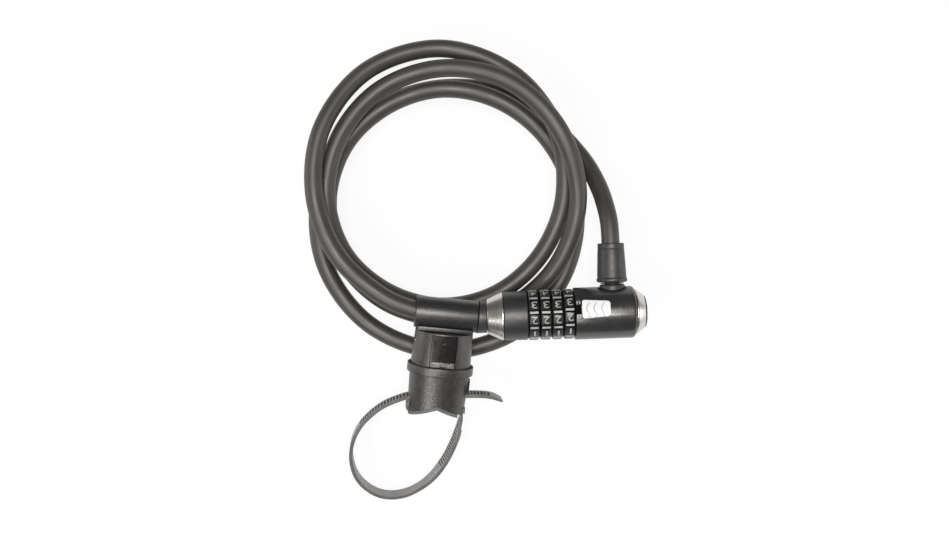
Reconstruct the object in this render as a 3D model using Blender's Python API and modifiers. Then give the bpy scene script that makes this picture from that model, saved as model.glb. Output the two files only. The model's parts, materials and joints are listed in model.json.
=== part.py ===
"""Combination cable lock, lying on its own coil with the dials facing up.

A sleeved steel cable winds almost four turns between a swept boot at the back of the lock head and the
bolt that plugs into the front of it. Behind the bolt, a swivelling clamp carries a post, and the post
plugs into a frame bracket with a V saddle and a ratchet strap. Metres, +Z up, the coil resting on Z = 0.
"""
import math

import bmesh
import bpy
from mathutils import Euler, Matrix, Vector

MM = 0.001

# ---- Clearances ----
SEAT_GAP = 0.3 * MM          # between pieces that touch
RUN_GAP = 0.35 * MM          # between pieces that turn or slide on each other
TURN_STEPS = 40              # facets round a large turned piece
SMALL_STEPS = 20             # facets round a small turned piece

# ---- Where the two sub-assemblies lie ----
HEAD_POSITION = Vector((42.9, 33.45, 26.2)) * MM   # head axis, at the rear housing's front face
HEAD_TURN = 2.0              # degrees, about +Z
BRACKET_TURN = -7.8          # degrees, the clamp's axis against the head's
CABLE_DIP = 6.0              # degrees, the cable's end runs down to the head
BRACKET_DROP = 8.0          # degrees, the bracket hangs down from the clamp

# ---- Cable ----
CABLE_D = 10.0 * MM
FLOOR_FLAT = CABLE_D / 10    # depth of the flat that the bottom strands rest on
POINTS_PER_TURN = 24
COIL_CENTRE = (-29.9 * MM, 97.3 * MM)
GAUGES_PER_TURN = 12         # the coil is gauged every 30 degrees, from +X, anticlockwise
FIRST_GAUGE = 1
TURN_RADII = (               # mm from the coil's centre, turn by turn
    77.2, 70.0, 64.6, 63.8, 66.6, 71.2, 77.2, 82.7, 86.2, 85.6, 81.2,
    76.0, 68.8, 64.2, 61.9, 60.9, 62.4, 64.2, 66.2, 66.9, 67.6, 71.6, 74.4,
    75.6, 74.0, 73.2, 71.2, 68.7, 65.4, 63.4, 62.4, 60.5, 60.4, 61.4, 63.8,
    68.4, 74.0, 79.7, 83.5, 81.4, 74.9, 68.4, 64.6, 62.8)
TURN_HEIGHTS = (             # mm above the floor, at the same gauges
    4.0, 4.0, 4.0, 4.0, 4.0, 4.0, 4.0, 4.0, 4.0, 4.0, 4.0,
    4.2, 11.0, 13.8, 14.9, 14.6, 14.4, 13.6, 7.4, 4.0, 4.3, 6.4, 17.4,
    23.6, 32.4, 30.4, 25.7, 24.0, 24.9, 24.3, 17.6, 12.4, 12.3, 12.3, 12.4,
    15.2, 21.2, 20.6, 19.8, 24.4, 31.2, 33.9, 32.6, 31.4)
LEAD_IN = ((62.7, 83.3, 24.6), (61.3, 92.3, 21.2), (58.5, 103.3, 15.6), (52.9, 116.3, 8.8),
           (45.4, 127.0, 5.0))   # mm, down from the boot to the floor

# ---- Lock head, turned about the head axis ----
DIAL_COUNT = 4
DIAL_PITCH = 6.4 * MM
DIAL_GAP = 0.35 * MM
FACE_GAP = SEAT_GAP - DIAL_GAP / 2     # from the stack of dials to the housings
DIAL_R = 13.65 * MM
DIAL_NUMBERS = 10
DIAL_TURNS = (8.2, 8.2, 8.2, 13.0)     # degrees towards the boot, as the dials were left
DIAL_GROOVE = 0.7 * MM       # depth of the two grooves between numbers
GROOVE_SPREAD = 4.5          # degrees, from the rib's middle to each groove's middle
GROOVE_HALF = 2.2            # degrees, half a groove's mouth
BOLT_R = 3.4 * MM
CORE_R = 6.2 * MM
CODING_R = 9.6 * MM
KEY_HALF = 1.1 * MM          # half the width of a dial's key
KEY_RISE = 0.8 * MM
FRONT_R = 13.5 * MM
FRONT_LENGTH = 12.9 * MM
CONE_LENGTH = 8.7 * MM
CONE_NOSE_R = 9.6 * MM
CONE_BORE_R = 7.9 * MM
REAR_R = 14.3 * MM
BOOT_OFFSET = 21.7 * MM      # boot's axis behind the housing's front face
BOOT_BACK = 11.4 * MM        # and before its rear edge
REAR_LENGTH = BOOT_OFFSET + BOOT_BACK
REAR_WALL = 2.4 * MM
REAR_FRONT_WALL = 4.0 * MM
CAP_R = 12.4 * MM
CAP_TIP_R = 9.3 * MM
CAP_LENGTH = 5.2 * MM
CAP_SEAT = 5.0 * MM          # how far the cap goes into the housing
BOSS_TOP = 15.5 * MM         # boss's top, from the head axis
BOSS_R = 6.9 * MM
BOSS_FOOT_R = 8.4 * MM
BOOT_BOTTOM = 16.6 * MM
BOOT_LENGTH = 21.4 * MM
BOOT_R = 8.0 * MM
BOOT_TOP_R = 7.2 * MM
BOOT_GRIP = 12.0 * MM        # how far the cable goes into the boot
ANCHOR_R = 4.2 * MM

# ---- Slide button ----
BUTTON_TILT = 11.5           # degrees round the housing, towards the boot
BUTTON_START = 2.7 * MM
BUTTON_LENGTH = 15.6 * MM
BUTTON_WIDTH = 10.2 * MM
BUTTON_TAIL = 8.0 * MM
BUTTON_RISE = 1.1 * MM
BUTTON_TRAVEL = 1.8 * MM
STEM_WIDTH = 3.8 * MM
STEM_START = 3.2 * MM
STEM_LENGTH = 8.0 * MM
STEM_FOOT = 10.6 * MM        # stem's lower end, from the head axis
LATCH_PLATE = 1.2 * MM
PLATE_START = 9.4 * MM

# ---- Plug ----
FERRULE_R = 8.85 * MM
FERRULE_LENGTH = 4.9 * MM
NOSE_R = CONE_BORE_R - RUN_GAP
NOSE_LENGTH = 3.6 * MM
BOLT_REACH = 12.9 * MM       # bolt's tip past the housing's front face

# ---- Bracket clamp: X along the sleeve, -Y towards the saddle, in the clamp's own frame ----
SLEEVE_R = 8.7 * MM
SLEEVE_LENGTH = 34.2 * MM
SLEEVE_BORE_R = CABLE_D / 2 + 0.9 * MM
SLEEVE_FLARE = 0.9 * MM      # the bore widens where the cable comes in
FLANGE_HALF = (15.1 * MM, 8.0 * MM)    # half sizes along X and Z
FLANGE_START = 6.3 * MM      # flange's ledge, from the sleeve's axis
FLANGE_END = 8.9 * MM        # flange's lower face
POST_R = 15.9 * MM
POST_FOOT_R = 16.7 * MM
POST_FLATNESS = 0.75         # the post's thickness over its width
POST_END = 30.5 * MM
TONGUE_R = 10.5 * MM
TONGUE_END = 40.2 * MM
WINDOW_HALF = 7.0 * MM
WINDOW_TOP = 10.0 * MM
WINDOW_END = 29.4 * MM
WINDOW_FLOOR = 5.8 * MM
TAB_TOP = 10.9 * MM
TAB_PANEL = 2.2 * MM
TAB_LIP = 2.3 * MM
TAB_END = 27.8 * MM
TAB_PIN_R = 1.0 * MM
TAB_PIN_AT = (-15.3 * MM, 2.5 * MM)    # Y and Z of the tab's pivot
SPRING_AT = -22.5 * MM
SCREW_R = 1.5 * MM
SCREW_HEAD_R = 2.5 * MM
SCREW_TIP = 6.4 * MM
SCREW_Z = -4.0 * MM

# ---- Bracket socket ----
SOCKET_TOP = 28.0 * MM
COLLAR_WALL = 1.6 * MM
COLLAR_R = POST_FOOT_R + COLLAR_WALL
COLLAR_HEIGHT = 4.8 * MM
SOCKET_R = POST_FOOT_R
SOCKET_FOOT_R = SOCKET_R - 1.1 * MM
VEE_PEAK = 49.3 * MM         # housing's V, at the middle
VEE_ANGLE = 21.0             # degrees, each arm against the saddle's width
PAD = 1.9 * MM
PAD_HALF = 12.0 * MM         # half the pad's width, which leaves the strap's root free
SLOT_AT = 45.9 * MM
SLOT_TILT = 6.3              # degrees, the strap's slot rises towards the pawl
STRAP = 1.9 * MM
STRAP_WIDTH = 9.0 * MM
STRAP_RAIL = 1.3 * MM        # a ladder of pits runs between two rails,
PIT = 0.8 * MM               # this deep,
PIT_LENGTH = 1.05 * MM       # this long,
PIT_PITCH = 1.86 * MM        # and this far from pit to pit
NECK = 9.6 * MM              # the strap is thinner on its outer side down to here,
NECK_STEP = 0.5 * MM         # by this much
STRAP_LEAN = 0.06            # the loop leans outwards by this share of its width
LIP_AT = 52.4 * MM           # a rounded lip stands out below the slot's open end,
LIP_R = 4.0 * MM             # part of a round this large
LIP_HALF = 4.0 * MM
LIP_REACH = SOCKET_R + 0.2 * MM        # this far from the socket's axis
PAWL_PIVOT = (SOCKET_R - 2.8 * MM, -38.4 * MM)
PAWL_R = 1.5 * MM
PAWL_REACH = 3.3 * MM        # from its pin to the back that shows at the socket's side
PAWL_PIN_R = 0.6 * MM
PAWL_HALF = 2.7 * MM
PAWL_ROOM = (SOCKET_R - 4.7 * MM, 34.6 * MM)     # inner wall and top of the pawl's chamber

# Strap's centre line in the bracket's plane, mm: root, round the frame tube, through the slot, tail.
STRAP_ROUTE = ((14.6, -54.2), (15.0, -57.4), (14.6, -60.8), (13.6, -67.3), (11.6, -75.4), (8.4, -84.5),
               (2.6, -95.4), (-3.8, -102.6), (-10.5, -107.4), (-18.4, -109.8), (-25.5, -109.3), (-32.8, -105.6),
               (-39.0, -99.2), (-42.8, -90.8), (-44.1, -82.0), (-42.9, -73.3), (-39.7, -65.8), (-34.3, -58.9),
               (-28.1, -53.6), (-21.5, -50.0), (-15.6, -47.6), (0.0, -45.9), (15.5, -44.2), (25.6, -43.4),
               (30.1, -43.6), (36.6, -44.9))
STRAP_SAG = 9.4 * MM         # the loop hangs down sideways below the socket,
SAG_TOP = 57.0 * MM          # from this far below the sleeve,
SAG_RUN = 52.0 * MM          # and reaches the whole of its sag this much lower
TEETH_START = 0.61           # share of the strap's length where the teeth begin


def tidy_scene():
    """Empty the scene and open one collection for the lock and one for its cutters."""
    for old in list(bpy.data.objects):
        bpy.data.objects.remove(old)
    collections = []
    for name in ("cable_lock", "cutters"):
        collection = bpy.data.collections.new(name)
        bpy.context.scene.collection.children.link(collection)
        collections.append(collection)
    return collections


PARTS, CUTTERS = tidy_scene()


def material(name, colour, roughness, metallic=0.0):
    """One Principled finish."""
    made = bpy.data.materials.new(name)
    made.use_nodes = True
    shader = made.node_tree.nodes["Principled BSDF"]
    shader.inputs["Base Color"].default_value = (*colour, 1.0)
    shader.inputs["Roughness"].default_value = roughness
    shader.inputs["Metallic"].default_value = metallic
    return made


PVC = material("cable_sleeve", (0.075, 0.072, 0.068), 0.45)
HOUSING = material("satin_housing", (0.03, 0.03, 0.031), 0.38)
DIAL_BLACK = material("dial_black", (0.018, 0.018, 0.018), 0.3)
BRUSHED = material("brushed_metal", (0.72, 0.71, 0.69), 0.28, 1.0)
SILVER = material("silver_button", (0.86, 0.86, 0.86), 0.3, 0.6)
NYLON = material("bracket_nylon", (0.07, 0.07, 0.07), 0.5)
TAB_GLOSS = material("tab_gloss", (0.03, 0.028, 0.028), 0.15)
STRAP_GREY = material("strap_nylon", (0.16, 0.155, 0.15), 0.45)
RUBBER = material("saddle_rubber", (0.04, 0.04, 0.04), 0.8)
BRASS = material("brass", (0.75, 0.58, 0.3), 0.35, 1.0)
STEEL = material("steel", (0.55, 0.55, 0.56), 0.3, 1.0)


def place(name, data, look, parent, location=(0, 0, 0), rotation=(0, 0, 0), collection=PARTS):
    """Put a mesh or curve in the scene under its parent frame. Rotation is in degrees."""
    made = bpy.data.objects.new(name, data)
    collection.objects.link(made)
    made.parent = parent
    made.location = location
    made.rotation_euler = Euler([math.radians(turn) for turn in rotation])
    if look is None:
        made.hide_render = True
        made.display_type = "WIRE"
    else:
        data.materials.append(look)
    return made


def frame(name, parent, location, rotation):
    """An empty that carries the pieces of one body."""
    made = bpy.data.objects.new(name, None)
    PARTS.objects.link(made)
    made.parent = parent
    made.location = location
    made.rotation_euler = rotation
    return made


def bake(made):
    """Turn an object's curve or modifiers into a welded mesh, so that it can be cut."""
    bpy.context.view_layer.update()
    seen = made.evaluated_get(bpy.context.evaluated_depsgraph_get())
    mesh = bpy.data.meshes.new_from_object(seen)
    work = bmesh.new()
    work.from_mesh(mesh)
    bmesh.ops.remove_doubles(work, verts=work.verts, dist=0.00001)
    work.to_mesh(mesh)
    work.free()
    if made.type == "MESH":
        made.modifiers.clear()
        made.data = mesh
        return made
    solid = bpy.data.objects.new(made.name, mesh)
    for collection in made.users_collection:
        collection.objects.link(solid)
    name = made.name
    solid.parent = made.parent
    solid.matrix_basis = made.matrix_basis.copy()
    solid.hide_render = made.hide_render
    solid.display_type = made.display_type
    bpy.data.objects.remove(made)
    solid.name = name
    return solid


AXES = {"Z": (0, 0, 0), "X": (0, 90, 0), "Y": (-90, 0, 0)}


def lathe(name, profile, look, parent, axis="Z", steps=TURN_STEPS, location=(0, 0, 0), collection=PARTS,
          flatness=1.0):
    """Turn a profile of (along, radius) points about an axis. Flatness squeezes the section."""
    area = 0.0
    for (along, radius), (next_along, next_radius) in zip(profile, profile[1:] + profile[:1]):
        area += radius * next_along - next_radius * along
    if area > 0:
        profile = profile[::-1]
    solid = profile[0][1] == 0 and profile[-1][1] == 0
    mesh = bpy.data.meshes.new(name)
    edges = [(i, i + 1) for i in range(len(profile) - 1)]
    if not solid:
        edges.append((len(profile) - 1, 0))
    mesh.from_pydata([(radius, 0, along) for along, radius in profile], edges, [])
    made = place(name, mesh, look, parent, location, AXES[axis], collection)
    screw = made.modifiers.new("turn", "SCREW")
    screw.steps = steps
    screw.render_steps = steps
    screw.use_merge_vertices = True
    screw.merge_threshold = 0.00001
    if flatness != 1.0:
        bake(made)
        made.data.transform(Matrix.Diagonal((1, flatness, 1, 1)))
    return made


def block(name, low, high, look, parent, collection=PARTS, location=(0, 0, 0), rotation=(0, 0, 0)):
    """A box between two corners."""
    mesh = bpy.data.meshes.new(name)
    work = bmesh.new()
    bmesh.ops.create_cube(work, size=1.0)
    low, high = Vector(low), Vector(high)
    size = high - low
    bmesh.ops.scale(work, vec=size, verts=work.verts)
    bmesh.ops.translate(work, vec=(low + high) / 2, verts=work.verts)
    work.to_mesh(mesh)
    work.free()
    return place(name, mesh, look, parent, location, rotation, collection)


def plate(name, outlines, low, high, look, parent, rotation=(0, 0, 0), collection=PARTS):
    """Extrude flat outlines from low to high along their own Z. The first is the rim, the rest are holes."""
    curve = bpy.data.curves.new(name, "CURVE")
    curve.dimensions = "2D"
    curve.fill_mode = "BOTH"
    curve.extrude = (high - low) / 2
    curve.render_resolution_u = 0
    for outline in outlines:
        spline = curve.splines.new("POLY")
        spline.points.add(len(outline) - 1)
        spline.use_cyclic_u = True
        for point, (x, y) in zip(spline.points, outline):
            point.co = (x, y, 0, 1)
    turn = Euler([math.radians(angle) for angle in rotation])
    middle = turn.to_matrix() @ Vector((0, 0, (low + high) / 2))
    return place(name, curve, look, parent, middle, rotation, collection)


def cut(target, tool, operation="DIFFERENCE"):
    """Cut the target with the tool, join the tool to it, or keep what they share."""
    step = target.modifiers.new(operation.lower(), "BOOLEAN")
    step.operation = operation
    step.solver = "EXACT"
    step.object = tool
    return target


def round_edges(made, width, segments=2, angle=30):
    """Round the sharp edges."""
    step = made.modifiers.new("edges", "BEVEL")
    step.width = width
    step.segments = segments
    step.limit_method = "ANGLE"
    step.angle_limit = math.radians(angle)


def smooth(made, angle=35):
    """Shade the round faces smooth and keep the sharp edges."""
    if made.type == "MESH":
        made.data.shade_smooth()
        made.data.set_sharp_from_angle(angle=math.radians(angle))


def circle(radius, count, centre=(0, 0), start=0.0, turn=360.0):
    """Points on a circle or an arc, anticlockwise."""
    whole = abs(turn) >= 360
    last = count if whole else count - 1
    points = []
    for i in range(count):
        angle = math.radians(start + turn * i / last)
        points.append((centre[0] + radius * math.cos(angle), centre[1] + radius * math.sin(angle)))
    return points


def catmull(points, steps):
    """A smooth curve through every point, with knots spaced by the root of the distance."""
    points = [Vector(point) for point in points]
    points = [2 * points[0] - points[1]] + points + [2 * points[-1] - points[-2]]
    line = []
    for p0, p1, p2, p3 in zip(points, points[1:], points[2:], points[3:]):
        t1 = (p1 - p0).length ** 0.5
        t2 = t1 + (p2 - p1).length ** 0.5
        t3 = t2 + (p3 - p2).length ** 0.5
        for step in range(steps):
            t = t1 + (t2 - t1) * step / steps
            a1 = p0 * ((t1 - t) / t1) + p1 * (t / t1)
            a2 = p1 * ((t2 - t) / (t2 - t1)) + p2 * ((t - t1) / (t2 - t1))
            a3 = p2 * ((t3 - t) / (t3 - t2)) + p3 * ((t - t2) / (t3 - t2))
            b1 = a1 * ((t2 - t) / t2) + a2 * (t / t2)
            b2 = a2 * ((t3 - t) / (t3 - t1)) + a3 * ((t - t1) / (t3 - t1))
            line.append(b1 * ((t2 - t) / (t2 - t1)) + b2 * ((t - t1) / (t2 - t1)))
    line.append(points[-2])
    return line


def distances(line):
    """How far along the line each of its points lies."""
    travelled = [0.0]
    for here, there in zip(line, line[1:]):
        travelled.append(travelled[-1] + (there - here).length)
    return travelled


def along(line, travelled, where):
    """The point at a distance along a line."""
    for i in range(1, len(line)):
        if travelled[i] >= where or i == len(line) - 1:
            share = (where - travelled[i - 1]) / (travelled[i] - travelled[i - 1])
            return line[i - 1].lerp(line[i], min(1.0, share))


# ---- Frames: the head's Z runs from the bolt to the end cap, its X towards the boot, its Y up ----
def head_rotation():
    """Head axis along +X of the room, turned a little."""
    return (Matrix.Rotation(math.radians(HEAD_TURN), 3, "Z")
            @ Matrix(((0, 0, 1), (1, 0, 0), (0, 1, 0)))).to_euler()


head = frame("head_frame", None, HEAD_POSITION, head_rotation())
DIAL_STACK = DIAL_COUNT * DIAL_PITCH
FRONT_END = -DIAL_STACK - FACE_GAP
CONE_END = FRONT_END - FRONT_LENGTH - SEAT_GAP
CONE_TIP = CONE_END - CONE_LENGTH
COLLAR_FACE = CONE_TIP - SEAT_GAP
PLUG_BACK = COLLAR_FACE - FERRULE_LENGTH
plug = frame("plug_frame", head, (0, 0, 0), (0, 0, 0))


def sleeve_rotation():
    """In the room: X along the cable's end, towards the head."""
    return (Matrix.Rotation(math.radians(HEAD_TURN + BRACKET_TURN), 3, "Z")
            @ Matrix.Rotation(math.radians(CABLE_DIP), 3, "Y"))


def clamp_rotation():
    """From the head's frame: clamp X along the sleeve, Y away from the saddle, Z up and tilted."""
    room = sleeve_rotation() @ Matrix.Rotation(math.radians(BRACKET_DROP), 3, "X")
    return (head_rotation().to_matrix().inverted() @ room).to_euler()


clamp = frame("clamp_frame", plug, (0, 0, PLUG_BACK), clamp_rotation())
SLEEVE_MIDDLE = -SEAT_GAP - SLEEVE_LENGTH / 2
bracket = frame("bracket_frame", clamp, (SLEEVE_MIDDLE, 0, 0), (0, 0, 0))
bpy.context.view_layer.update()


# ---- Cable ----
def cable_route():
    """Straight out of the boot, down, round the coil by its gauges, and straight through the sleeve."""
    start = BOOT_BOTTOM + BOOT_LENGTH - BOOT_GRIP + SEAT_GAP
    boot = [head.matrix_world @ Vector((start + BOOT_GRIP * share, 0, BOOT_OFFSET))
            for share in (0.0, 0.5, 1.0)]
    lead = [Vector(point) * MM for point in LEAD_IN]
    coil = []
    for step, (radius, height) in enumerate(zip(TURN_RADII, TURN_HEIGHTS)):
        angle = 2 * math.pi * (FIRST_GAUGE + step) / GAUGES_PER_TURN
        coil.append(Vector((COIL_CENTRE[0] + radius * MM * math.cos(angle),
                            COIL_CENTRE[1] + radius * MM * math.sin(angle), height * MM)))
    level = Matrix.Translation(clamp.matrix_world.translation) @ sleeve_rotation().to_4x4()
    sleeve = [level @ Vector((-SEAT_GAP - SLEEVE_LENGTH * share, drift * MM, 0))
              for share, drift in ((1.0, 0.6), (0.66, 0.1), (0.33, 0.0), (0.0, 0.0))]
    return catmull(boot + lead + coil + sleeve, 16)


def measure_route(line):
    """Print the cable's length and its least gap to itself, measured on points."""
    travelled = distances(line)
    length = travelled[-1]
    step = 2 * MM
    near = 4 * CABLE_D
    points = [along(line, travelled, i * step) for i in range(int(length / step))]
    least = min((points[i] - points[j]).length for i in range(len(points))
                for j in range(i + int(near / step), len(points)))
    print(f"cable: {length / MM:.0f} mm long, least gap to itself {(least - CABLE_D) / MM:.2f} mm")


def make_cable():
    """One unbroken tube, cut flat where its lowest strands lie on the floor."""
    line = cable_route()
    measure_route(line)
    travelled = distances(line)
    mean_turn = 2 * math.pi * sum(TURN_RADII) / len(TURN_RADII) * MM
    step = mean_turn / POINTS_PER_TURN
    first, last = BOOT_GRIP + SEAT_GAP, travelled[-1] - CABLE_D
    count = round((last - first) / step)
    stops = [0.0, *(first + (last - first) * i / count for i in range(count + 1)), travelled[-1]]
    curve = bpy.data.curves.new("cable", "CURVE")
    curve.dimensions = "3D"
    curve.twist_mode = "Z_UP"
    curve.bevel_depth = CABLE_D / 2
    curve.bevel_resolution = 1
    curve.use_fill_caps = True
    curve.render_resolution_u = 0
    spline = curve.splines.new("POLY")
    spline.points.add(len(stops) - 1)
    for point, stop in zip(spline.points, stops):
        point.co = (*along(line, travelled, stop), 1)
    cable = bake(place("cable", curve, PVC, None))
    reach = 2 * max(TURN_RADII) * MM
    floor = block("floor_cutter", (COIL_CENTRE[0] - reach, COIL_CENTRE[1] - reach, -CABLE_D),
                  (COIL_CENTRE[0] + reach, COIL_CENTRE[1] + reach, 0), None, None, CUTTERS)
    cut(cable, floor)
    smooth(cable, 70)


# ---- Head housings ----
def make_front():
    """Front housing and its brushed cone."""
    bore = CORE_R + SEAT_GAP
    chamfer = 0.4 * MM
    lathe("front_housing", [
        (FRONT_END, bore), (FRONT_END, FRONT_R - chamfer), (FRONT_END - chamfer, FRONT_R),
        (CONE_END + SEAT_GAP + chamfer, FRONT_R - 0.2 * MM), (CONE_END + SEAT_GAP, FRONT_R - 2 * chamfer),
        (CONE_END + SEAT_GAP, bore)], HOUSING, head)
    lip = 0.9 * MM
    lathe("cone_ring", [
        (CONE_END, CONE_BORE_R), (CONE_END, FRONT_R - 0.3 * MM), (CONE_END - 0.5 * MM, FRONT_R - 0.3 * MM),
        (CONE_TIP + lip, CONE_NOSE_R + 0.3 * MM), (CONE_TIP + 0.6 * lip, CONE_NOSE_R), (CONE_TIP, CONE_NOSE_R),
        (CONE_TIP, CONE_BORE_R)], BRUSHED, head)


def dial_outline():
    """Rim of one dial: ten number lands, with a rib between two grooves after each."""
    pitch = 360.0 / DIAL_NUMBERS
    floor = DIAL_R - DIAL_GROOVE
    land = pitch / 2 - GROOVE_SPREAD - GROOVE_HALF
    points = []
    for number in range(DIAL_NUMBERS):
        middle = number * pitch
        points += circle(DIAL_R, 4, start=middle - land, turn=2 * land)
        for side in (-1, 1):
            groove = middle + pitch / 2 + side * GROOVE_SPREAD
            points += circle(floor, 2, start=groove - GROOVE_HALF / 2, turn=GROOVE_HALF)
            if side < 0:
                points += circle(DIAL_R, 2, start=groove + GROOVE_HALF, turn=2 * (GROOVE_SPREAD - GROOVE_HALF))
    return points


def keyed_circle(radius, count, key_half, rise):
    """A circle with two square keys, or keyways, on opposite sides."""
    half = math.degrees(math.asin(key_half / radius))
    points = []
    for side in (0, 180):
        points += circle(radius + rise, 2, start=side - half, turn=2 * half)
        points += circle(radius, count // 2, start=side + half, turn=180 - 2 * half)
    return points


def make_dials():
    """Dials from the front to the back, each keyed to its coding ring."""
    width = DIAL_PITCH - DIAL_GAP
    for index in range(DIAL_COUNT):
        start = -DIAL_STACK + index * DIAL_PITCH + DIAL_GAP / 2
        axle = frame(f"dial_frame_{index + 1}", head, (0, 0, 0), (0, 0, math.radians(-DIAL_TURNS[index])))
        rim = dial_outline()
        hole = keyed_circle(CODING_R + SEAT_GAP, 24, KEY_HALF + SEAT_GAP, KEY_RISE)
        plate(f"dial_{index + 1}", [rim, hole], start, start + width, DIAL_BLACK, axle)
        ring = keyed_circle(CODING_R, 24, KEY_HALF, KEY_RISE)
        gate = 2.4 * MM
        bore_r = CORE_R + RUN_GAP
        half = math.degrees(math.asin(gate / 2 / bore_r))
        bore = circle(bore_r, 20, start=90 + half, turn=360 - 2 * half)
        bore += circle(bore_r + 1.6 * MM, 2, start=90 - half * 0.8, turn=1.6 * half)
        plate(f"coding_ring_{index + 1}", [ring, bore], start + 0.1 * MM, start + width - 0.1 * MM, BRASS, axle)


def make_core():
    """Slotted core tube, and the bowed washer that keeps the dials pressed together."""
    slot = 2.2 * MM
    bore = BOLT_R + RUN_GAP
    outer_half = math.degrees(math.asin(slot / 2 / CORE_R))
    inner_half = math.degrees(math.asin(slot / 2 / bore))
    section = circle(CORE_R, 24, start=90 + outer_half, turn=360 - 2 * outer_half)
    section += circle(bore, 20, start=90 - inner_half, turn=-(360 - 2 * inner_half))
    plate("lock_core", [section], CONE_END + SEAT_GAP, REAR_FRONT_WALL - 0.1 * MM, STEEL, head)
    wave = 0.35 * MM
    washer = lathe("wave_washer", [
        (0, CORE_R + RUN_GAP), (0.35 * MM, CORE_R + RUN_GAP), (0.35 * MM, CODING_R - 0.3 * MM),
        (0, CODING_R - 0.3 * MM)], STEEL, head, steps=24, location=(0, 0, 0.85 * MM))
    bake(washer)
    for vertex in washer.data.vertices:
        vertex.co.z += wave * math.cos(3 * math.atan2(vertex.co.y, vertex.co.x))


def make_rear():
    """Rear housing: a cup with a boss for the boot and a slot for the button's stem."""
    fillet = 1.9 * MM
    cavity = REAR_R - REAR_WALL
    start = FACE_GAP
    washer_seat = 2.0 * MM
    arc = [(REAR_LENGTH - fillet + fillet * math.sin(a), REAR_R - fillet + fillet * math.cos(a))
           for a in (math.radians(turn) for turn in (0, 30, 60, 90))]
    housing = lathe("rear_housing", [
        (REAR_LENGTH, 0), *arc[::-1], (start + 0.4 * MM, REAR_R), (start, REAR_R - 0.4 * MM), (start, 0)],
        HOUSING, head)
    boss = lathe("boss_shape", [
        (CORE_R, 0), (CORE_R, BOSS_FOOT_R + 0.9 * MM), (REAR_R - 0.6 * MM, BOSS_FOOT_R),
        (BOSS_TOP - 0.7 * MM, BOSS_R + 0.1 * MM), (BOSS_TOP, BOSS_R - 0.3 * MM), (BOSS_TOP, 0)],
        None, head, "X", 24, (0, 0, BOOT_OFFSET), CUTTERS)
    cut(housing, boss, "UNION")
    hollow = lathe("rear_hollow", [
        (REAR_LENGTH + 1 * MM, 0), (REAR_LENGTH + 1 * MM, cavity), (REAR_FRONT_WALL, cavity),
        (REAR_FRONT_WALL, CORE_R + SEAT_GAP), (start + washer_seat, CORE_R + SEAT_GAP),
        (start + washer_seat, CODING_R), (start - 1 * MM, CODING_R), (start - 1 * MM, 0)],
        None, head, collection=CUTTERS)
    cut(housing, hollow)
    bore = lathe("anchor_bore", [
        (CORE_R, 0), (CORE_R, ANCHOR_R + SEAT_GAP), (BOSS_TOP + 2 * MM, ANCHOR_R + SEAT_GAP), (BOSS_TOP + 2 * MM, 0)],
        None, head, "X", SMALL_STEPS, (0, 0, BOOT_OFFSET), CUTTERS)
    cut(housing, bore)
    slot_half = STEM_WIDTH / 2 + SEAT_GAP
    slot = block("stem_slot", (-slot_half, cavity - 2 * MM, STEM_START - BUTTON_TRAVEL - SEAT_GAP),
                 (slot_half, REAR_R + 2 * MM, STEM_START + STEM_LENGTH + SEAT_GAP), None, head, CUTTERS,
                 rotation=(0, 0, -BUTTON_TILT))
    cut(housing, slot)
    lathe("end_cap", [
        (REAR_LENGTH - CAP_SEAT, cavity - 3 * MM), (REAR_LENGTH - CAP_SEAT, cavity - SEAT_GAP),
        (REAR_LENGTH + SEAT_GAP / 2, cavity - SEAT_GAP), (REAR_LENGTH + SEAT_GAP, CAP_R),
        (REAR_LENGTH + 1.0 * MM, CAP_R), (REAR_LENGTH + CAP_LENGTH, CAP_TIP_R),
        (REAR_LENGTH + CAP_LENGTH, CAP_TIP_R - 2 * MM), (REAR_LENGTH + CAP_LENGTH - 1.5 * MM, CAP_TIP_R - 2 * MM),
        (REAR_LENGTH + CAP_LENGTH - 1.5 * MM, CAP_TIP_R - 4 * MM), (REAR_LENGTH, CAP_TIP_R - 4 * MM)],
        BRUSHED, head)
    plug_r = CAP_TIP_R - 2 * MM - SEAT_GAP
    base = REAR_LENGTH + CAP_LENGTH
    lathe("end_plug", [
        (base - 1.5 * MM + SEAT_GAP, 0), (base - 1.5 * MM + SEAT_GAP, plug_r), (base + SEAT_GAP, plug_r),
        (base + SEAT_GAP, CAP_TIP_R - 0.4 * MM), (base + 0.9 * MM, CAP_TIP_R - 0.8 * MM), (base + 0.9 * MM, 0)],
        HOUSING, head, steps=32)


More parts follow.
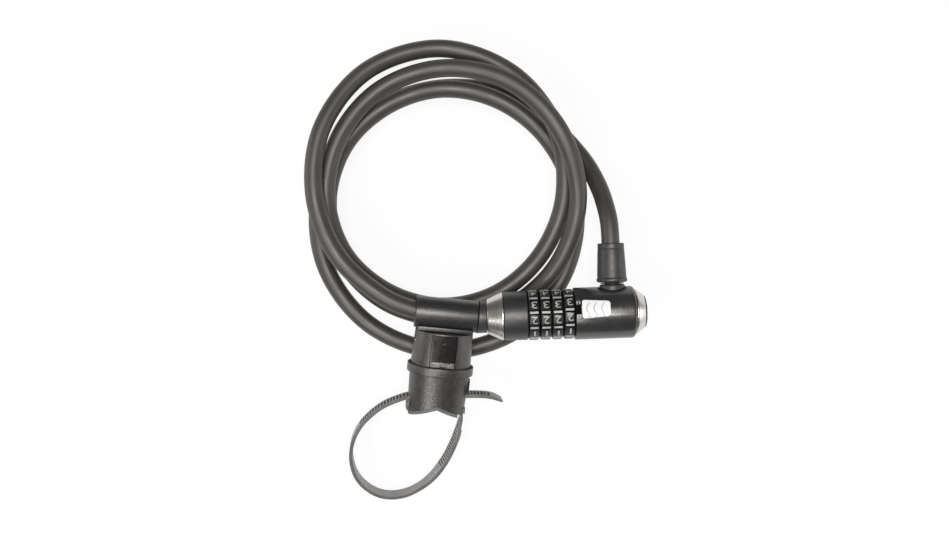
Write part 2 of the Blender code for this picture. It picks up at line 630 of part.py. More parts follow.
def make_anchor():
    """What holds the cable in the head: an insert, the crimped anchor, its screw, a washer and the boot."""
    cavity = REAR_R - REAR_WALL
    insert_r = cavity - SEAT_GAP
    front = BOOT_OFFSET - ANCHOR_R - 1.6 * MM
    back = REAR_LENGTH - CAP_SEAT - 2 * SEAT_GAP
    floor = 4.0 * MM
    insert = lathe("anchor_block", [(front, 0), (front, insert_r), (back, insert_r), (back, 0)],
                   STEEL, head, steps=32)
    well = lathe("anchor_well", [
        (floor, 0), (floor, ANCHOR_R + SEAT_GAP), (insert_r + 2 * MM, ANCHOR_R + SEAT_GAP), (insert_r + 2 * MM, 0)],
        None, head, "X", SMALL_STEPS, (0, 0, BOOT_OFFSET), CUTTERS)
    cut(insert, well)
    screw_r = 1.2 * MM
    screw_x = -4.0 * MM
    hole = lathe("screw_hole", [
        (back - 6 * MM, 0), (back - 6 * MM, screw_r + SEAT_GAP), (back + 2 * MM, screw_r + SEAT_GAP),
        (back + 2 * MM, 0)], None, head, "Z", 12, (screw_x, 0, 0), CUTTERS)
    cut(insert, hole)
    lathe("anchor_screw", [
        (back - 5.5 * MM, 0), (back - 5.5 * MM, screw_r), (back + SEAT_GAP, screw_r),
        (back + SEAT_GAP, 2 * screw_r), (back + 1.3 * MM, 2 * screw_r), (back + 1.3 * MM, 0)],
        STEEL, head, "Z", 12, (screw_x, 0, 0))
    grip_floor = BOOT_BOTTOM + BOOT_LENGTH - BOOT_GRIP
    sleeve_r = CABLE_D / 2
    lathe("cable_anchor", [
        (floor + SEAT_GAP, 0), (floor + SEAT_GAP, ANCHOR_R), (BOOT_BOTTOM, ANCHOR_R), (BOOT_BOTTOM + 0.5 * MM, sleeve_r),
        (grip_floor, sleeve_r), (grip_floor, 0)], STEEL, head, "X", 24, (0, 0, BOOT_OFFSET))
    lathe("neck_washer", [
        (BOSS_TOP + SEAT_GAP, ANCHOR_R + SEAT_GAP), (BOSS_TOP + SEAT_GAP, BOSS_R - 0.6 * MM),
        (BOOT_BOTTOM - SEAT_GAP, BOSS_R - 0.6 * MM), (BOOT_BOTTOM - SEAT_GAP, ANCHOR_R + SEAT_GAP)],
        RUBBER, head, "X", 24, (0, 0, BOOT_OFFSET))
    top = BOOT_BOTTOM + BOOT_LENGTH
    bore = sleeve_r + SEAT_GAP
    lathe("cable_boot", [
        (BOOT_BOTTOM, bore), (BOOT_BOTTOM, BOOT_R - 0.9 * MM), (BOOT_BOTTOM + 0.3 * MM, BOOT_R - 0.3 * MM),
        (BOOT_BOTTOM + 1.0 * MM, BOOT_R), (top - 0.6 * MM, BOOT_TOP_R), (top, BOOT_TOP_R - 0.6 * MM), (top, bore)],
        HOUSING, head, "X", 32, (0, 0, BOOT_OFFSET))


# ---- Slide button ----
def coil_spring(name, radius, wire, turns, length, parent, location, rotation):
    """A compression spring as one helix of eight points a turn."""
    per_turn = 8
    curve = bpy.data.curves.new(name, "CURVE")
    curve.dimensions = "3D"
    curve.bevel_depth = wire / 2
    curve.bevel_resolution = 1
    curve.use_fill_caps = True
    curve.render_resolution_u = 0
    spline = curve.splines.new("POLY")
    count = int(turns * per_turn) + 1
    spline.points.add(count - 1)
    for i, point in enumerate(spline.points):
        angle = 2 * math.pi * i / per_turn
        point.co = (radius * math.cos(angle), radius * math.sin(angle), wire / 2 + (length - wire) * i / (count - 1), 1)
    print(f"{name}: least gap to itself {((length - wire) / turns - wire) / MM:.2f} mm")
    return place(name, curve, STEEL, parent, location, rotation)


def make_button():
    """Curved button on the housing, its stem and latch plate, and the spring in front of the plate."""
    tilt = frame("button_frame", head, (0, 0, 0), Euler((0, 0, math.radians(-BUTTON_TILT))))
    inner = REAR_R + SEAT_GAP
    end = BUTTON_START + BUTTON_LENGTH
    corner = 1.6 * MM
    front, back = BUTTON_WIDTH / 2, BUTTON_TAIL / 2
    outline = [(-front, BUTTON_START), (front, BUTTON_START), (back, end - corner), (back - corner, end),
               (-back + corner, end), (-back, end - corner)]
    shell = lathe("slide_button", [
        (BUTTON_START - corner, inner), (BUTTON_START - corner, inner + BUTTON_RISE), (end + corner, inner + BUTTON_RISE),
        (end + corner, inner)], SILVER, tilt, steps=64)
    keep = bake(plate("button_outline", [outline], -REAR_R - 4 * MM, -REAR_R + 4 * MM, None, tilt, (90, 0, 0), CUTTERS))
    cut(shell, keep, "INTERSECT")
    stem = block("button_stem", (-STEM_WIDTH / 2, STEM_FOOT, STEM_START),
                 (STEM_WIDTH / 2, inner + BUTTON_RISE / 2, STEM_START + STEM_LENGTH), None, tilt, CUTTERS)
    cut(shell, stem, "UNION")
    hole = circle(BOLT_R + 0.6 * MM, 20)
    tab = 1.6 * MM
    reach = STEM_FOOT - SEAT_GAP
    rim = circle(7.6 * MM, 20, start=90 + 14, turn=332)
    rim += [(tab, reach), (-tab, reach)]
    plate("latch_plate", [rim, hole], PLATE_START, PLATE_START + LATCH_PLATE, STEEL, tilt)
    spring_seat = REAR_FRONT_WALL + SEAT_GAP
    coil_spring("button_spring", 1.5 * MM, 0.45 * MM, 4.5, PLATE_START - SEAT_GAP - spring_seat, head,
                (-6.0 * MM, 0, spring_seat), (0, 0, 0))


# ---- Plug ----
def make_plug():
    """Ferrule with a seal on its nose, cut square to the cable behind, and the grooved bolt."""
    nose_end = CONE_TIP + NOSE_LENGTH
    bore = BOLT_R + SEAT_GAP
    deep = 2.4 * MM
    groove = (nose_end - 2.4 * MM, nose_end - 1.2 * MM)
    groove_r = NOSE_R - 1.4 * MM
    ferrule = lathe("plug_ferrule", [
        (nose_end, bore), (nose_end, NOSE_R - 0.3 * MM), (nose_end - 0.3 * MM, NOSE_R), (groove[1], NOSE_R),
        (groove[1], groove_r), (groove[0], groove_r), (groove[0], NOSE_R), (COLLAR_FACE, NOSE_R),
        (COLLAR_FACE, FERRULE_R - 0.3 * MM), (COLLAR_FACE - 0.3 * MM, FERRULE_R), (PLUG_BACK - deep, FERRULE_R),
        (PLUG_BACK - deep, 0), (COLLAR_FACE - deep, 0), (COLLAR_FACE - deep, bore)], HOUSING, plug)
    reach = 3 * FERRULE_R
    behind = block("cable_face", (-reach, -reach, -reach), (0, reach, reach), None, clamp, CUTTERS)
    cut(ferrule, behind)
    ring = 0.45 * MM
    middle = (groove[0] + groove[1]) / 2
    seat = groove_r + SEAT_GAP + ring
    lathe("plug_seal", [(middle + ring * math.cos(a), seat + ring * math.sin(a))
                        for a in (math.radians(turn) for turn in range(0, 360, 60))], RUBBER, plug, steps=28)
    tip = BOLT_REACH
    neck = 0.7 * MM
    points = [(COLLAR_FACE - deep + SEAT_GAP, 0), (COLLAR_FACE - deep + SEAT_GAP, BOLT_R)]
    for index in range(DIAL_COUNT):
        middle = FRONT_END + (index + 0.5) * DIAL_PITCH
        half = DIAL_PITCH / 5
        points += [(middle - half, BOLT_R), (middle - half, BOLT_R - neck), (middle + half, BOLT_R - neck),
                   (middle + half, BOLT_R)]
    catch = PLATE_START + LATCH_PLATE / 2
    points += [(catch - LATCH_PLATE, BOLT_R), (catch - LATCH_PLATE, BOLT_R - neck),
               (catch + LATCH_PLATE, BOLT_R - neck), (catch + LATCH_PLATE, BOLT_R),
               (tip - 0.6 * MM, BOLT_R), (tip, BOLT_R - 0.8 * MM), (tip, 0)]
    lathe("latch_bolt", points, STEEL, plug, steps=SMALL_STEPS)


# ---- Bracket clamp ----
def make_clamp():
    """Sleeve that swivels on the cable, with a flange that the post screws to."""
    half = SLEEVE_LENGTH / 2
    chamfer = 0.5 * MM
    sleeve = lathe("clamp_sleeve", [
        (-half, 0), (-half, SLEEVE_R - chamfer), (-half + chamfer, SLEEVE_R), (half - chamfer, SLEEVE_R),
        (half, SLEEVE_R - chamfer), (half, 0)], NYLON, bracket, "X")
    flange = block("flange_shape", (-FLANGE_HALF[0], -FLANGE_END, -FLANGE_HALF[1]),
                   (FLANGE_HALF[0], -FLANGE_START, FLANGE_HALF[1]), None, bracket, CUTTERS)
    round_edges(flange, 0.6 * MM)
    cut(sleeve, flange, "UNION")
    bore = lathe("sleeve_bore", [
        (-half - chamfer, 0), (-half - chamfer, SLEEVE_BORE_R + SLEEVE_FLARE), (-half, SLEEVE_BORE_R + SLEEVE_FLARE),
        (-half + 8 * SLEEVE_FLARE, SLEEVE_BORE_R), (half + chamfer, SLEEVE_BORE_R), (half + chamfer, 0)],
        None, bracket, "X", 24, collection=CUTTERS)
    cut(sleeve, bore)
    tap = lathe("screw_tap", [(-SCREW_TIP + SEAT_GAP, 0), (-SCREW_TIP + SEAT_GAP, SCREW_R + SEAT_GAP),
                              (-FLANGE_END - 2 * MM, SCREW_R + SEAT_GAP), (-FLANGE_END - 2 * MM, 0)],
                None, bracket, "Y", 12, (0, 0, SCREW_Z), CUTTERS)
    cut(sleeve, tap)


def make_post():
    """Barrel with the release window, and the tongue that plugs into the bracket."""
    top = -FLANGE_END - SEAT_GAP
    flat = POST_FLATNESS
    post = lathe("clamp_post", [
        (top, 0), (top, POST_R - 0.5 * MM), (top - 0.5 * MM, POST_R), (-POST_END + 0.5 * MM, POST_FOOT_R),
        (-POST_END, POST_FOOT_R - 0.5 * MM), (-POST_END, TONGUE_R), (-TONGUE_END + 1 * MM, TONGUE_R),
        (-TONGUE_END, TONGUE_R - 1 * MM), (-TONGUE_END, 0)], NYLON, bracket, "Y", flatness=flat)
    window = block("window", (-WINDOW_HALF, -WINDOW_END, WINDOW_FLOOR),
                   (WINDOW_HALF, -WINDOW_TOP, POST_FOOT_R), None, bracket, CUTTERS)
    cut(post, window)
    pivot_y, pivot_z = TAB_PIN_AT
    ear = 2.6 * MM
    arm = WINDOW_HALF - 1.6 * MM
    well = block("arm_well", (-arm - SEAT_GAP, pivot_y - ear - 1.0 * MM, pivot_z - ear),
                 (arm + SEAT_GAP, pivot_y + ear, WINDOW_FLOOR + 1 * MM), None, bracket, CUTTERS)
    cut(post, well)
    pin = lathe("pin_hole", [(-POST_FOOT_R, 0), (-POST_FOOT_R, TAB_PIN_R + SEAT_GAP), (POST_FOOT_R, TAB_PIN_R + SEAT_GAP),
                             (POST_FOOT_R, 0)], None, bracket, "X", 12, (0, pivot_y, pivot_z), CUTTERS)
    cut(post, pin)
    screw = lathe("screw_well", [
        (top + 1 * MM, 0), (top + 1 * MM, SCREW_R + SEAT_GAP), (top - 3 * MM, SCREW_R + SEAT_GAP),
        (top - 3 * MM, SCREW_HEAD_R + SEAT_GAP), (-TONGUE_END - 1 * MM, SCREW_HEAD_R + SEAT_GAP),
        (-TONGUE_END - 1 * MM, 0)], None, bracket, "Y", 12, (0, 0, SCREW_Z), CUTTERS)
    cut(post, screw)
    lathe("clamp_screw", [
        (-SCREW_TIP, 0), (-SCREW_TIP, SCREW_R), (top - 3 * MM - SEAT_GAP, SCREW_R),
        (top - 3 * MM - SEAT_GAP, SCREW_HEAD_R), (top - 5 * MM, SCREW_HEAD_R), (top - 5 * MM, 0)],
        STEEL, bracket, "Y", 12, (0, 0, SCREW_Z))
    reach = POST_R - SEAT_GAP
    lathe("tab_pin", [(-reach, 0), (-reach, TAB_PIN_R), (reach, TAB_PIN_R), (reach, 0)], STEEL, bracket, "X", 12,
          (0, pivot_y, pivot_z))


def make_tab():
    """Release tab: a flush panel with a lip at the bracket's rim, on a cross pin, over a small spring."""
    pivot_y, pivot_z = TAB_PIN_AT
    lever = frame("tab_frame", bracket, (0, pivot_y, pivot_z), (0, 0, 0))
    top = -WINDOW_TOP - RUN_GAP - pivot_y
    bottom = -TAB_END - pivot_y
    face = TAB_TOP - pivot_z
    under = face - TAB_PANEL
    ear = 1.9 * MM
    side = [(top, under), (top, face), (bottom + TAB_LIP, face), (bottom + TAB_LIP - 0.5 * MM, face + 0.7 * MM),
            (bottom, face + 0.7 * MM), (bottom, under + 0.4 * MM), (-ear - 1 * MM, under - 0.4 * MM)]
    side += circle(ear, 6, start=180, turn=180)
    side.append((ear + 0.3 * MM, under - 0.4 * MM))
    tab = bake(plate("release_tab", [side], -WINDOW_HALF + SEAT_GAP, WINDOW_HALF - SEAT_GAP, TAB_GLOSS, lever, (90, 0, 90)))
    narrow = WINDOW_HALF - 1.6 * MM
    for sign in (-1, 1):
        low, high = sorted((sign * narrow, sign * 2 * WINDOW_HALF))
        trim = block(f"tab_trim_{sign}", (low, -2 * ear, -2 * ear), (high, 2 * ear, WINDOW_FLOOR - pivot_z + 1.2 * MM),
                     None, lever, CUTTERS)
        cut(tab, trim)
    hole = lathe("tab_hole", [(-2 * WINDOW_HALF, 0), (-2 * WINDOW_HALF, TAB_PIN_R + SEAT_GAP),
                              (2 * WINDOW_HALF, TAB_PIN_R + SEAT_GAP), (2 * WINDOW_HALF, 0)],
                 None, lever, "X", 12, collection=CUTTERS)
    cut(tab, hole)
    room = TAB_TOP - TAB_PANEL - WINDOW_FLOOR - 2 * SEAT_GAP
    coil_spring("tab_spring", 1.8 * MM, 0.35 * MM, 2.5, room, bracket,
                (0, SPRING_AT, WINDOW_FLOOR + SEAT_GAP), (0, 0, 0))


# ---- Bracket socket ----
def vee(offset, half):
    """The saddle's V at a distance below the housing's peak: left, peak, right."""
    rise = half * math.tan(math.radians(VEE_ANGLE))
    return [(-half, -VEE_PEAK - offset - rise), (0, -VEE_PEAK - offset), (half, -VEE_PEAK - offset - rise)]


def make_socket():
    """Socket with its rim, the post's well, the strap's slot, the pawl's chamber and the V underneath."""
    flat = POST_FLATNESS
    wide = 1.3 * COLLAR_R
    low = VEE_PEAK + SOCKET_R * math.tan(math.radians(VEE_ANGLE)) + 1 * MM
    skirt = POST_FOOT_R + RUN_GAP
    well = TONGUE_R + RUN_GAP
    shoulder = POST_END + RUN_GAP
    collar = SOCKET_TOP + COLLAR_HEIGHT
    socket = lathe("socket_body", [
        (-SOCKET_TOP, skirt), (-SOCKET_TOP, COLLAR_R - 0.4 * MM), (-SOCKET_TOP - 0.4 * MM, COLLAR_R),
        (-collar + 0.4 * MM, COLLAR_R), (-collar, COLLAR_R - 0.4 * MM), (-collar, SOCKET_R), (-low, SOCKET_FOOT_R),
        (-low, 0), (-TONGUE_END - RUN_GAP, 0), (-TONGUE_END - RUN_GAP, well), (-shoulder, well), (-shoulder, skirt)],
        NYLON, bracket, "Y", flatness=flat)
    lip = lathe("slot_lip", [(-LIP_HALF, 0), (-LIP_HALF, LIP_R), (LIP_HALF, LIP_R), (LIP_HALF, 0)], None, bracket,
                "Z", 24, (LIP_R - LIP_REACH, -LIP_AT, 0), CUTTERS)
    cut(socket, lip, "UNION")
    left, peak, right = vee(0, wide)
    under = bake(plate("vee_cutter", [[left, (-wide, -2 * low), (wide, -2 * low), right, peak]], -wide, wide,
                       None, bracket, collection=CUTTERS))
    cut(socket, under)
    high = STRAP / 2 + SEAT_GAP
    slot = block("strap_slot", (-wide, -STRAP / 2 - SEAT_GAP, -STRAP_WIDTH / 2 - SEAT_GAP),
                 (wide, high, STRAP_WIDTH / 2 + SEAT_GAP), None, bracket, CUTTERS, (0, -SLOT_AT, 0), (0, 0, SLOT_TILT))
    cut(socket, slot)
    chamber = block("pawl_chamber", (PAWL_ROOM[0], -SLOT_AT, -PAWL_HALF - RUN_GAP),
                    (wide, -PAWL_ROOM[1], PAWL_HALF + RUN_GAP), None, bracket, CUTTERS)
    cut(socket, chamber)
    pin_reach = PAWL_HALF + 3 * MM
    pin = lathe("pawl_pin_hole", [(-pin_reach, 0), (-pin_reach, PAWL_PIN_R + SEAT_GAP), (pin_reach, PAWL_PIN_R + SEAT_GAP),
                                  (pin_reach, 0)], None, bracket, "Z", 12, (*PAWL_PIVOT, 0), CUTTERS)
    cut(socket, pin)
    lathe("pawl_pin", [(-pin_reach + SEAT_GAP, 0), (-pin_reach + SEAT_GAP, PAWL_PIN_R),
                       (pin_reach - SEAT_GAP, PAWL_PIN_R), (pin_reach - SEAT_GAP, 0)], STEEL, bracket, "Z", 12,
          (*PAWL_PIVOT, 0))
    root = strap_root()
    pocket = block("root_pocket", (root[0], root[2] - 2 * MM, -STRAP_WIDTH / 2 - SEAT_GAP),
                   (wide, root[3], STRAP_WIDTH / 2 + SEAT_GAP), None, bracket, CUTTERS)
    cut(socket, pocket)


def make_pad():
    """Rubber saddle with two flat faces, trimmed to the socket's section."""
    top = vee(SEAT_GAP, PAD_HALF)
    foot = vee(SEAT_GAP + PAD, PAD_HALF)
    left_end = SOCKET_FOOT_R - 0.5 * MM
    slope = math.tan(math.radians(VEE_ANGLE))
    top[0] = (-left_end, top[1][1] - left_end * slope)
    foot[0] = (-left_end, foot[1][1] - left_end * slope)
    width = SOCKET_FOOT_R * POST_FLATNESS
    pad = bake(plate("saddle_pad", [foot + top[::-1]], -width, width, RUBBER, bracket))
    edge = SOCKET_FOOT_R - 0.4 * MM
    trim = lathe("pad_trim", [(-VEE_PEAK + 5 * MM, 0), (-VEE_PEAK + 5 * MM, edge), (-1.5 * VEE_PEAK, edge),
                              (-1.5 * VEE_PEAK, 0)], None, bracket, "Y", 32, collection=CUTTERS,
                 flatness=POST_FLATNESS)
    cut(pad, trim, "INTERSECT")


def strap_root():
    """Left, right, low and high sides of the strap's root, where the socket holds it."""
    x, y = (value * MM for value in STRAP_ROUTE[0])
    half = STRAP / 2 + 0.5 * MM
    return x - half - SEAT_GAP, x + half, y, y + 3.4 * MM


def make_strap():
    """One strip from its root round the loop and through the slot, with a ladder of pits on its outer side."""
    line = catmull([(x * MM, y * MM, 0) for x, y in STRAP_ROUTE], 8)
    travelled = distances(line)
    length = travelled[-1]
    stride = 2 * PIT_PITCH
    tip = 3 * PIT_PITCH

    def facing(where):
        """Point of the line there, its direction and its outward normal."""
        ahead = along(line, travelled, min(length, where + 0.5 * MM))
        behind = along(line, travelled, max(0.0, where - 0.5 * MM))
        heading = (ahead - behind).normalized()
        return along(line, travelled, where), heading, Vector((0, 0, 1)).cross(heading)

    def beside(where, rise):
        point, _, outward = facing(where)
        return point - outward * rise

    outer = [beside(where, NECK_STEP - STRAP / 2) for where in (0.0, NECK / 2, NECK - NECK_STEP)]
    steps = int((length - tip - NECK) / stride)
    outer += [beside(NECK + stride * step, -STRAP / 2) for step in range(steps + 1)]
    outer += [beside(length - tip, -STRAP / 2), beside(length, 0.2 * MM)]
    steps = int(length / stride)
    inner = [beside(length - stride * (step + 0.5), STRAP / 2) for step in range(steps)]
    inner.append(beside(0.0, STRAP / 2))
    root = strap_root()
    knuckle = [(root[0] + SEAT_GAP, root[2]), (root[0] + SEAT_GAP, root[3] - SEAT_GAP), (root[1], root[3] - SEAT_GAP),
               (root[1], root[2])]
    points = [(point.x, point.y) for point in outer + inner] + knuckle
    strap = bake(plate("strap", [points], -STRAP_WIDTH / 2, STRAP_WIDTH / 2, STRAP_GREY, bracket))
    pits = bmesh.new()
    across = STRAP_WIDTH - 2 * STRAP_RAIL
    first = TEETH_START * length
    for index in range(int((length - tip - first) / PIT_PITCH)):
        point, heading, outward = facing(first + PIT_PITCH * index)
        placement = Matrix((heading, outward, (0, 0, 1))).transposed().to_4x4()
        placement.translation = point + outward * STRAP / 2
        cube = bmesh.ops.create_cube(pits, size=1.0)
        bmesh.ops.scale(pits, vec=(PIT_LENGTH, 2 * PIT, across), verts=cube["verts"])
        bmesh.ops.transform(pits, matrix=placement, verts=cube["verts"])
    ladder = bpy.data.meshes.new("pit_cutters")
    pits.to_mesh(ladder)
    pits.free()
    strap = bake(cut(strap, place("pit_cutters", ladder, None, bracket, collection=CUTTERS)))
    for vertex in strap.data.vertices:
        below = max(0.0, (-SAG_TOP - vertex.co.y) / SAG_RUN)
        vertex.co.y -= STRAP_LEAN * min(1.0, 2 * below) * vertex.co.z
        vertex.co.z -= STRAP_SAG * below ** 2


def make_pawl():
    """Pawl with its nose over the strap's pits and its lever in the side opening."""
    pivot = Vector(PAWL_PIVOT)
    strap_top = -SLOT_AT + pivot.x * math.tan(math.radians(SLOT_TILT)) + STRAP / 2
    nose = strap_top + RUN_GAP - pivot.y
    lever = pivot.y + PAWL_ROOM[1] + 2 * RUN_GAP
    outline = circle(PAWL_R, 6, start=110, turn=110)
    outline += [(-0.3 * MM, nose + 1.2 * MM), (0.7 * MM, nose), (1.7 * MM, nose + 0.1 * MM),
                (PAWL_REACH, nose + 1.8 * MM), (PAWL_REACH, -lever), (0.6 * MM, -lever)]
    axle = frame("pawl_frame", bracket, (pivot.x, pivot.y, 0), (0, 0, 0))
    plate("strap_pawl", [outline, circle(PAWL_PIN_R + SEAT_GAP, 12)], -PAWL_HALF, PAWL_HALF, NYLON, axle)


make_cable()
make_front()
make_dials()
make_core()
make_rear()
make_anchor()
make_button()
make_plug()
make_clamp()
make_post()
make_tab()
make_socket()
make_pad()
make_strap()
make_pawl()
for piece in PARTS.objects:
    smooth(piece)
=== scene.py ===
# %% [markdown]
# # A combination cable lock, lying on its own coil
#
# This lesson dresses a finished CAD model. The real object is a bicycle lock: a steel cable in a soft
# black sleeve, a turned lock head with four number dials and a white slide button, and a frame bracket
# with a V saddle and a ratchet strap that hangs on the cable behind the head.
#
# The CAD solids are exact but coarse. Each visible one gets a finer twin here, made from the same
# measures, with its edges eased and its own finish. The room is in metres with +Z up, and the coil
# rests on Z = 0. Measures in capitals are in millimetres.

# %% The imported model
import json
import math

import bmesh
import bpy
from mathutils import Matrix, Vector
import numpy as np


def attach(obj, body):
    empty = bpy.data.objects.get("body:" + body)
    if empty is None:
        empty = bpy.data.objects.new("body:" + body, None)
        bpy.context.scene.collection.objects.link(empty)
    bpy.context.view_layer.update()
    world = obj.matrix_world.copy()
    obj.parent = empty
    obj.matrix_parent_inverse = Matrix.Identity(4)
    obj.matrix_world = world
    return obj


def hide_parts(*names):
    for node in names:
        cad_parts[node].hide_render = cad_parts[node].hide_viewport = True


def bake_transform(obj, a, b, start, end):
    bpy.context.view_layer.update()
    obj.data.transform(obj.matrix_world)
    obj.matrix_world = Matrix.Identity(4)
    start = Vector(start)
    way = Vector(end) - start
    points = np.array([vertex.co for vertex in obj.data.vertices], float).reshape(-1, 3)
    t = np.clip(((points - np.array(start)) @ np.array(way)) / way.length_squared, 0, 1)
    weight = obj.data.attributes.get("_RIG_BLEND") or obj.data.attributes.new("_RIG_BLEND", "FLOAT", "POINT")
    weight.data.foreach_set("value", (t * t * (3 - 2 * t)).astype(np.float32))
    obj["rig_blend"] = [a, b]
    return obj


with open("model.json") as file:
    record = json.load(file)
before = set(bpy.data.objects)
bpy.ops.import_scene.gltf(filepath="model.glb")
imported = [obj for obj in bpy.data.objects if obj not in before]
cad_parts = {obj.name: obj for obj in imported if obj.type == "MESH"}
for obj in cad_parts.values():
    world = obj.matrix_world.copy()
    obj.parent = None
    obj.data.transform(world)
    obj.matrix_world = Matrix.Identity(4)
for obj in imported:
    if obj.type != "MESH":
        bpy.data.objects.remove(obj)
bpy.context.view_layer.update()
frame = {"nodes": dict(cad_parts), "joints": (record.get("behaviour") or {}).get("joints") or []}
MM = 0.001
JOINTS = {joint["name"]: joint for joint in frame["joints"]}

# %% [markdown]
# ## Where the two sub-assemblies stand
#
# Measures on a lathe-turned head are easiest in the head's own axes: Z runs along the dials from the
# bolt to the end cap, X points to the boot, Y up. The bracket has axes of its own too: X along its
# sleeve, -Y down to the saddle. Both come from the joints of the model, so they follow it if it moves.


# %% The head's and the bracket's axes
def axes(origin, x, y, z):
    """A placement from an origin and three unit axes."""
    columns = Matrix((x, y, z)).transposed().to_4x4()
    return Matrix.Translation(origin) @ columns


dial_axis = Vector(JOINTS["dial_1_turn"]["axis"]).normalized()
up = Vector((0, 0, 1))
HEAD = axes(Vector(JOINTS["dial_1_turn"]["pos_m"]), up.cross(dial_axis), up, dial_axis)

SLEEVE_LENGTH = 34.2
SEAT_GAP = 0.3
sleeve_x = -Vector(JOINTS["clamp_swivel"]["axis"]).normalized()
bracket_y = -Vector(JOINTS["socket_release"]["axis"]).normalized()
bracket_z = sleeve_x.cross(bracket_y).normalized()
bracket_y = bracket_z.cross(sleeve_x)
CABLE_END = Vector(JOINTS["clamp_swivel"]["pos_m"])
BRACKET = axes(CABLE_END - sleeve_x * (SEAT_GAP + SLEEVE_LENGTH / 2) * MM, sleeve_x, bracket_y, bracket_z)
print("head at", [round(value, 4) for value in HEAD.translation])

# %% [markdown]
# ## The camera
#
# The lock lies on a table and is seen straight from above, from about half a metre. A camera object
# with no turn at all looks down -Z with +Y at the top of the frame, which is exactly this view.

# %% The camera
CAMERA_PLACE = (-11.6 * MM, 59.1 * MM, 540.0 * MM)
LENS, SENSOR = 35.43, 36.0


def put(name, data):
    """A new object in the scene."""
    made = bpy.data.objects.new(name, data)
    bpy.context.scene.collection.objects.link(made)
    return made


camera = put("camera", bpy.data.cameras.new("camera"))
camera.data.lens, camera.data.sensor_width = LENS, SENSOR
camera.data.clip_start = 10 * MM
camera.location = CAMERA_PLACE
bpy.context.scene.camera = camera
bpy.context.scene.view_settings.view_transform = "Standard"
print("camera at", CAMERA_PLACE)

# %% [markdown]
# ## The cable's line
#
# The cable is one unbroken length: out of the boot, down to the table, almost four turns round, and
# back through the bracket's sleeve into the plug. Its coil is written as a radius and a height at
# every thirty degrees, which is how one would gauge a coil on a bench. A Catmull-Rom curve passes
# through every gauged point, so the line is smooth and still goes exactly where it was measured.

# %% Gauges of the coil
COIL_CENTRE = (-29.9, 97.3)
TURN_RADII = (
    77.2, 70.0, 64.6, 63.8, 66.6, 71.2, 77.2, 82.7, 86.2, 85.6, 81.2,
    76.0, 68.8, 64.2, 61.9, 60.9, 62.4, 64.2, 66.2, 66.9, 67.6, 71.6, 74.4,
    75.6, 74.0, 73.2, 71.2, 68.7, 65.4, 63.4, 62.4, 60.5, 60.4, 61.4, 63.8,
    68.4, 74.0, 79.7, 83.5, 81.4, 74.9, 68.4, 64.6, 62.8)
TURN_HEIGHTS = (
    4.0, 4.0, 4.0, 4.0, 4.0, 4.0, 4.0, 4.0, 4.0, 4.0, 4.0,
    4.2, 11.0, 13.8, 14.9, 14.6, 14.4, 13.6, 7.4, 4.0, 4.3, 6.4, 17.4,
    23.6, 32.4, 30.4, 25.7, 24.0, 24.9, 24.3, 17.6, 12.4, 12.3, 12.3, 12.4,
    15.2, 21.2, 20.6, 19.8, 24.4, 31.2, 33.9, 32.6, 31.4)
LEAD_IN = ((62.7, 83.3, 24.6), (61.3, 92.3, 21.2), (58.5, 103.3, 15.6), (52.9, 116.3, 8.8),
           (45.4, 127.0, 5.0))
CABLE_D = 10.0
BOOT_OFFSET, BOOT_BOTTOM, BOOT_LENGTH, BOOT_GRIP = 21.7, 16.6, 21.4, 12.0
LINE_STEPS, RING_STEP = 16, 2.2


def catmull(points, steps):
    """A smooth line through every point, with knots spaced by the root of the distance."""
    points = [Vector(point) for point in points]
    points = [2 * points[0] - points[1]] + points + [2 * points[-1] - points[-2]]
    line = []
    for p0, p1, p2, p3 in zip(points, points[1:], points[2:], points[3:]):
        t1 = (p1 - p0).length ** 0.5
        t2 = t1 + (p2 - p1).length ** 0.5
        t3 = t2 + (p3 - p2).length ** 0.5
        for step in range(steps):
            t = t1 + (t2 - t1) * step / steps
            a1 = p0 * ((t1 - t) / t1) + p1 * (t / t1)
            a2 = p1 * ((t2 - t) / (t2 - t1)) + p2 * ((t - t1) / (t2 - t1))
            a3 = p2 * ((t3 - t) / (t3 - t2)) + p3 * ((t - t2) / (t3 - t2))
            b1 = a1 * ((t2 - t) / t2) + a2 * (t / t2)
            b2 = a2 * ((t3 - t) / (t3 - t1)) + a3 * ((t - t1) / (t3 - t1))
            line.append(b1 * ((t2 - t) / (t2 - t1)) + b2 * ((t - t1) / (t2 - t1)))
    line.append(points[-2])
    return line


def spaced(line, step):
    """The same line, with its points an even step apart."""
    travelled = [0.0]
    for here, there in zip(line, line[1:]):
        travelled.append(travelled[-1] + (there - here).length)
    count = max(2, round(travelled[-1] / step))
    points, leg = [], 1
    for i in range(count + 1):
        where = travelled[-1] * i / count
        while leg < len(line) - 1 and travelled[leg] < where:
            leg += 1
        share = (where - travelled[leg - 1]) / (travelled[leg] - travelled[leg - 1])
        points.append(line[leg - 1].lerp(line[leg], min(1.0, share)))
    return points, travelled[-1]


